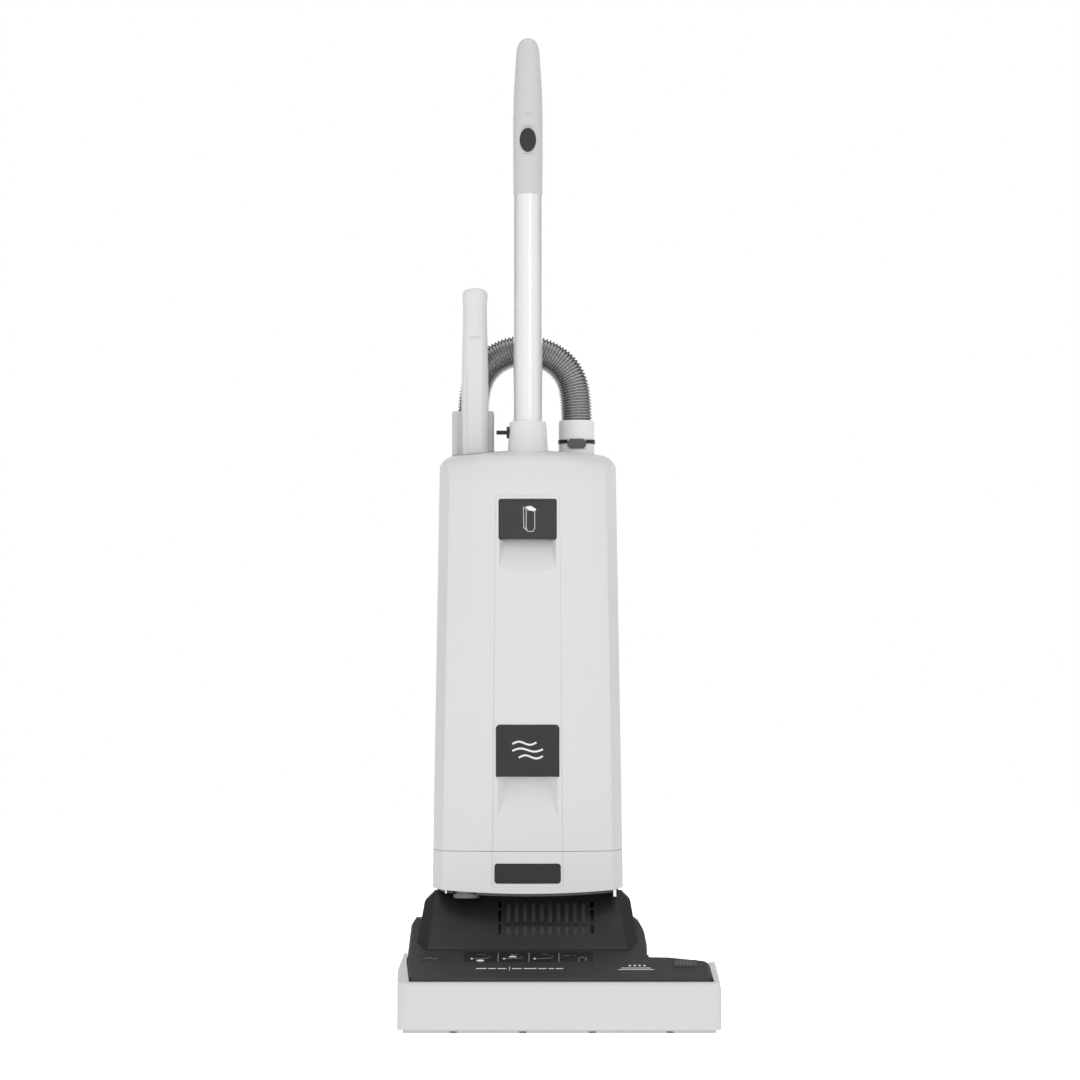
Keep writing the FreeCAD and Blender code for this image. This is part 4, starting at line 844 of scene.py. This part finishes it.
def make_bag_seam(low, high):
    """Flat welded band round the bag, at the middle of its depth."""
    y = (low.y + high.y) / 2
    verts, faces = [], []
    outline = []
    corner = SEAM_CORNER
    x0, x1, z0, z1 = low.x + 0.001, high.x - 0.001, low.z + 0.001, high.z - 0.001
    for cx, cz, start in ((x1 - corner, z1 - corner, 0), (x0 + corner, z1 - corner, 90),
                          (x0 + corner, z0 + corner, 180), (x1 - corner, z0 + corner, 270)):
        for i in range(7):
            angle = math.radians(start + 15 * i)
            outline.append((cx, cz, math.cos(angle), math.sin(angle)))
    for cx, cz, c, s in outline:
        for depth in (0.0, SEAM_WIDTH):
            for dy in (-SEAM_HALF_THICK, SEAM_HALF_THICK):
                r = corner - depth
                verts.append((cx + r * c, y + dy, cz + r * s))
    count = len(outline)
    for i in range(count):
        a, b = 4 * i, 4 * ((i + 1) % count)
        faces += [(a, a + 1, b + 1, b), (a + 2, b + 2, b + 3, a + 3),
                  (a, b, b + 2, a + 2), (a + 1, a + 3, b + 3, b + 1)]
    seam = new_object("bag_seam", verts, faces, smooth=False)
    paint(seam, MATERIALS["bag_fleece"])
    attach(seam, "casing")


def make_bag_collar(bag_high):
    """Card plate with a rubber ring round the inlet."""
    low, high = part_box("bag_nozzle")
    centre_x, centre_z = (low.x + high.x) / 2, COLLAR_Z
    y1 = bag_high.y
    y0 = y1 - COLLAR_THICK
    count = 40
    verts, faces = [], []
    for i in range(count):
        angle = 2 * math.pi * (i + 0.5) / count
        c, s = math.cos(angle), math.sin(angle)
        reach = min(COLLAR_HALF_X / max(abs(c), 1e-6), COLLAR_HALF_Z / max(abs(s), 1e-6), COLLAR_CORNER_R)
        for r in (COLLAR_HOLE_R, reach):
            for y in (y0, y1):
                verts.append((centre_x + r * c, y, centre_z + r * s))
    for i in range(count):
        a, b = 4 * i, 4 * ((i + 1) % count)
        faces += [(a, b, b + 1, a + 1), (a + 2, a + 3, b + 3, b + 2),
                  (a, a + 2, b + 2, b), (a + 1, b + 1, b + 3, a + 3)]
    collar = new_object("bag_collar", verts, faces, smooth=False)
    paint(collar, CARD)
    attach(collar, "casing")
    ring = [(centre_x + COLLAR_HOLE_R * math.cos(2 * math.pi * i / RING_STEPS), y0 - 0.0004,
             centre_z + COLLAR_HOLE_R * math.sin(2 * math.pi * i / RING_STEPS)) for i in range(RING_STEPS)]
    verts, faces = [], []
    for i, (x, y, z) in enumerate(ring):
        out = Vector((x - centre_x, 0, z - centre_z)).normalized()
        for k in range(RING_SIDES):
            turn = 2 * math.pi * k / RING_SIDES
            around = math.cos(turn) * out + math.sin(turn) * Vector((0, 1, 0))
            verts.append(Vector((x, y, z)) + RING_WIRE_R * around)
    for i in range(RING_STEPS):
        for k in range(RING_SIDES):
            a, b = i * RING_SIDES, ((i + 1) % RING_STEPS) * RING_SIDES
            n = (k + 1) % RING_SIDES
            faces.append((a + k, a + n, b + n, b + k))
    lip = new_object("collar_ring", verts, faces)
    paint(lip, MATERIALS["belt_rubber"])
    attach(lip, "casing")


make_dust_bag()


# ---- floor, light ----
FLOOR_HALF = 9.0


def make_floor():
    h = FLOOR_HALF
    floor = new_object("floor", [(-h, -h, 0), (h, -h, 0), (h, h, 0), (-h, h, 0)], [(0, 1, 2, 3)])
    n = Nodes("floor")
    n.shader.inputs["Base Color"].default_value = (0.5, 0.5, 0.5, 1)
    n.shader.inputs["Roughness"].default_value = 0.9
    n.shader.inputs["Specular IOR Level"].default_value = 0.1
    n.shader.inputs["Emission Color"].default_value = (1, 1, 1, 1)
    n.shader.inputs["Emission Strength"].default_value = 0.86
    floor.data.materials.append(n.material)


def area_light(name, place, target, size, power):
    data = bpy.data.lights.new(name, "AREA")
    data.shape = "SQUARE"
    data.size = size
    data.energy = power
    light = bpy.data.objects.new(name, data)
    light.location = place
    light.rotation_euler = (Vector(target) - Vector(place)).to_track_quat("-Z", "Y").to_euler()
    light.visible_camera = False
    bpy.context.scene.collection.objects.link(light)


def make_world(front, back):
    """White to the eye; as a light, bright on the front side and dimmer behind."""
    world = bpy.data.worlds.new("studio")
    world.use_nodes = True
    tree = world.node_tree
    tree.nodes.clear()
    seen = tree.nodes.new("ShaderNodeBackground")
    seen.inputs["Strength"].default_value = 1.0
    seen.inputs["Color"].default_value = (1, 1, 1, 1)
    lit = tree.nodes.new("ShaderNodeBackground")
    lit.inputs["Color"].default_value = (1, 1, 1, 1)
    direction = tree.nodes.new("ShaderNodeTexCoord")
    split = tree.nodes.new("ShaderNodeSeparateXYZ")
    ramp = tree.nodes.new("ShaderNodeMapRange")
    ramp.interpolation_type = "SMOOTHSTEP"
    ramp.inputs["From Min"].default_value = -0.45
    ramp.inputs["From Max"].default_value = 0.6
    ramp.inputs["To Min"].default_value = front
    ramp.inputs["To Max"].default_value = back
    tree.links.new(direction.outputs["Generated"], split.inputs[0])
    tree.links.new(split.outputs["Y"], ramp.inputs["Value"])
    tree.links.new(ramp.outputs["Result"], lit.inputs["Strength"])
    path = tree.nodes.new("ShaderNodeLightPath")
    mix = tree.nodes.new("ShaderNodeMixShader")
    out = tree.nodes.new("ShaderNodeOutputWorld")
    tree.links.new(path.outputs["Is Camera Ray"], mix.inputs[0])
    tree.links.new(lit.outputs[0], mix.inputs[1])
    tree.links.new(seen.outputs[0], mix.inputs[2])
    tree.links.new(mix.outputs[0], out.inputs["Surface"])
    bpy.context.scene.world = world


make_floor()
make_world(0.98, 0.16)
MIDDLE = (-0.03, 0.0, 0.6)
area_light("key_left", (-1.3, -3.9, 1.5), MIDDLE, 1.4, 3)
area_light("key_right", (1.3, -3.9, 1.5), MIDDLE, 1.4, 3)
area_light("back_left", (-1.3, 3.8, 1.7), MIDDLE, 2.0, 24)
area_light("back_right", (1.3, 3.8, 1.7), MIDDLE, 2.0, 24)
area_light("front", (1.4, -5.2, 1.6), MIDDLE, 0.3, 6)
area_light("overhead", (0, 0.2, 3.6), (0, 0, 0), 2.4, 26)
bpy.context.scene.view_settings.view_transform = "Standard"
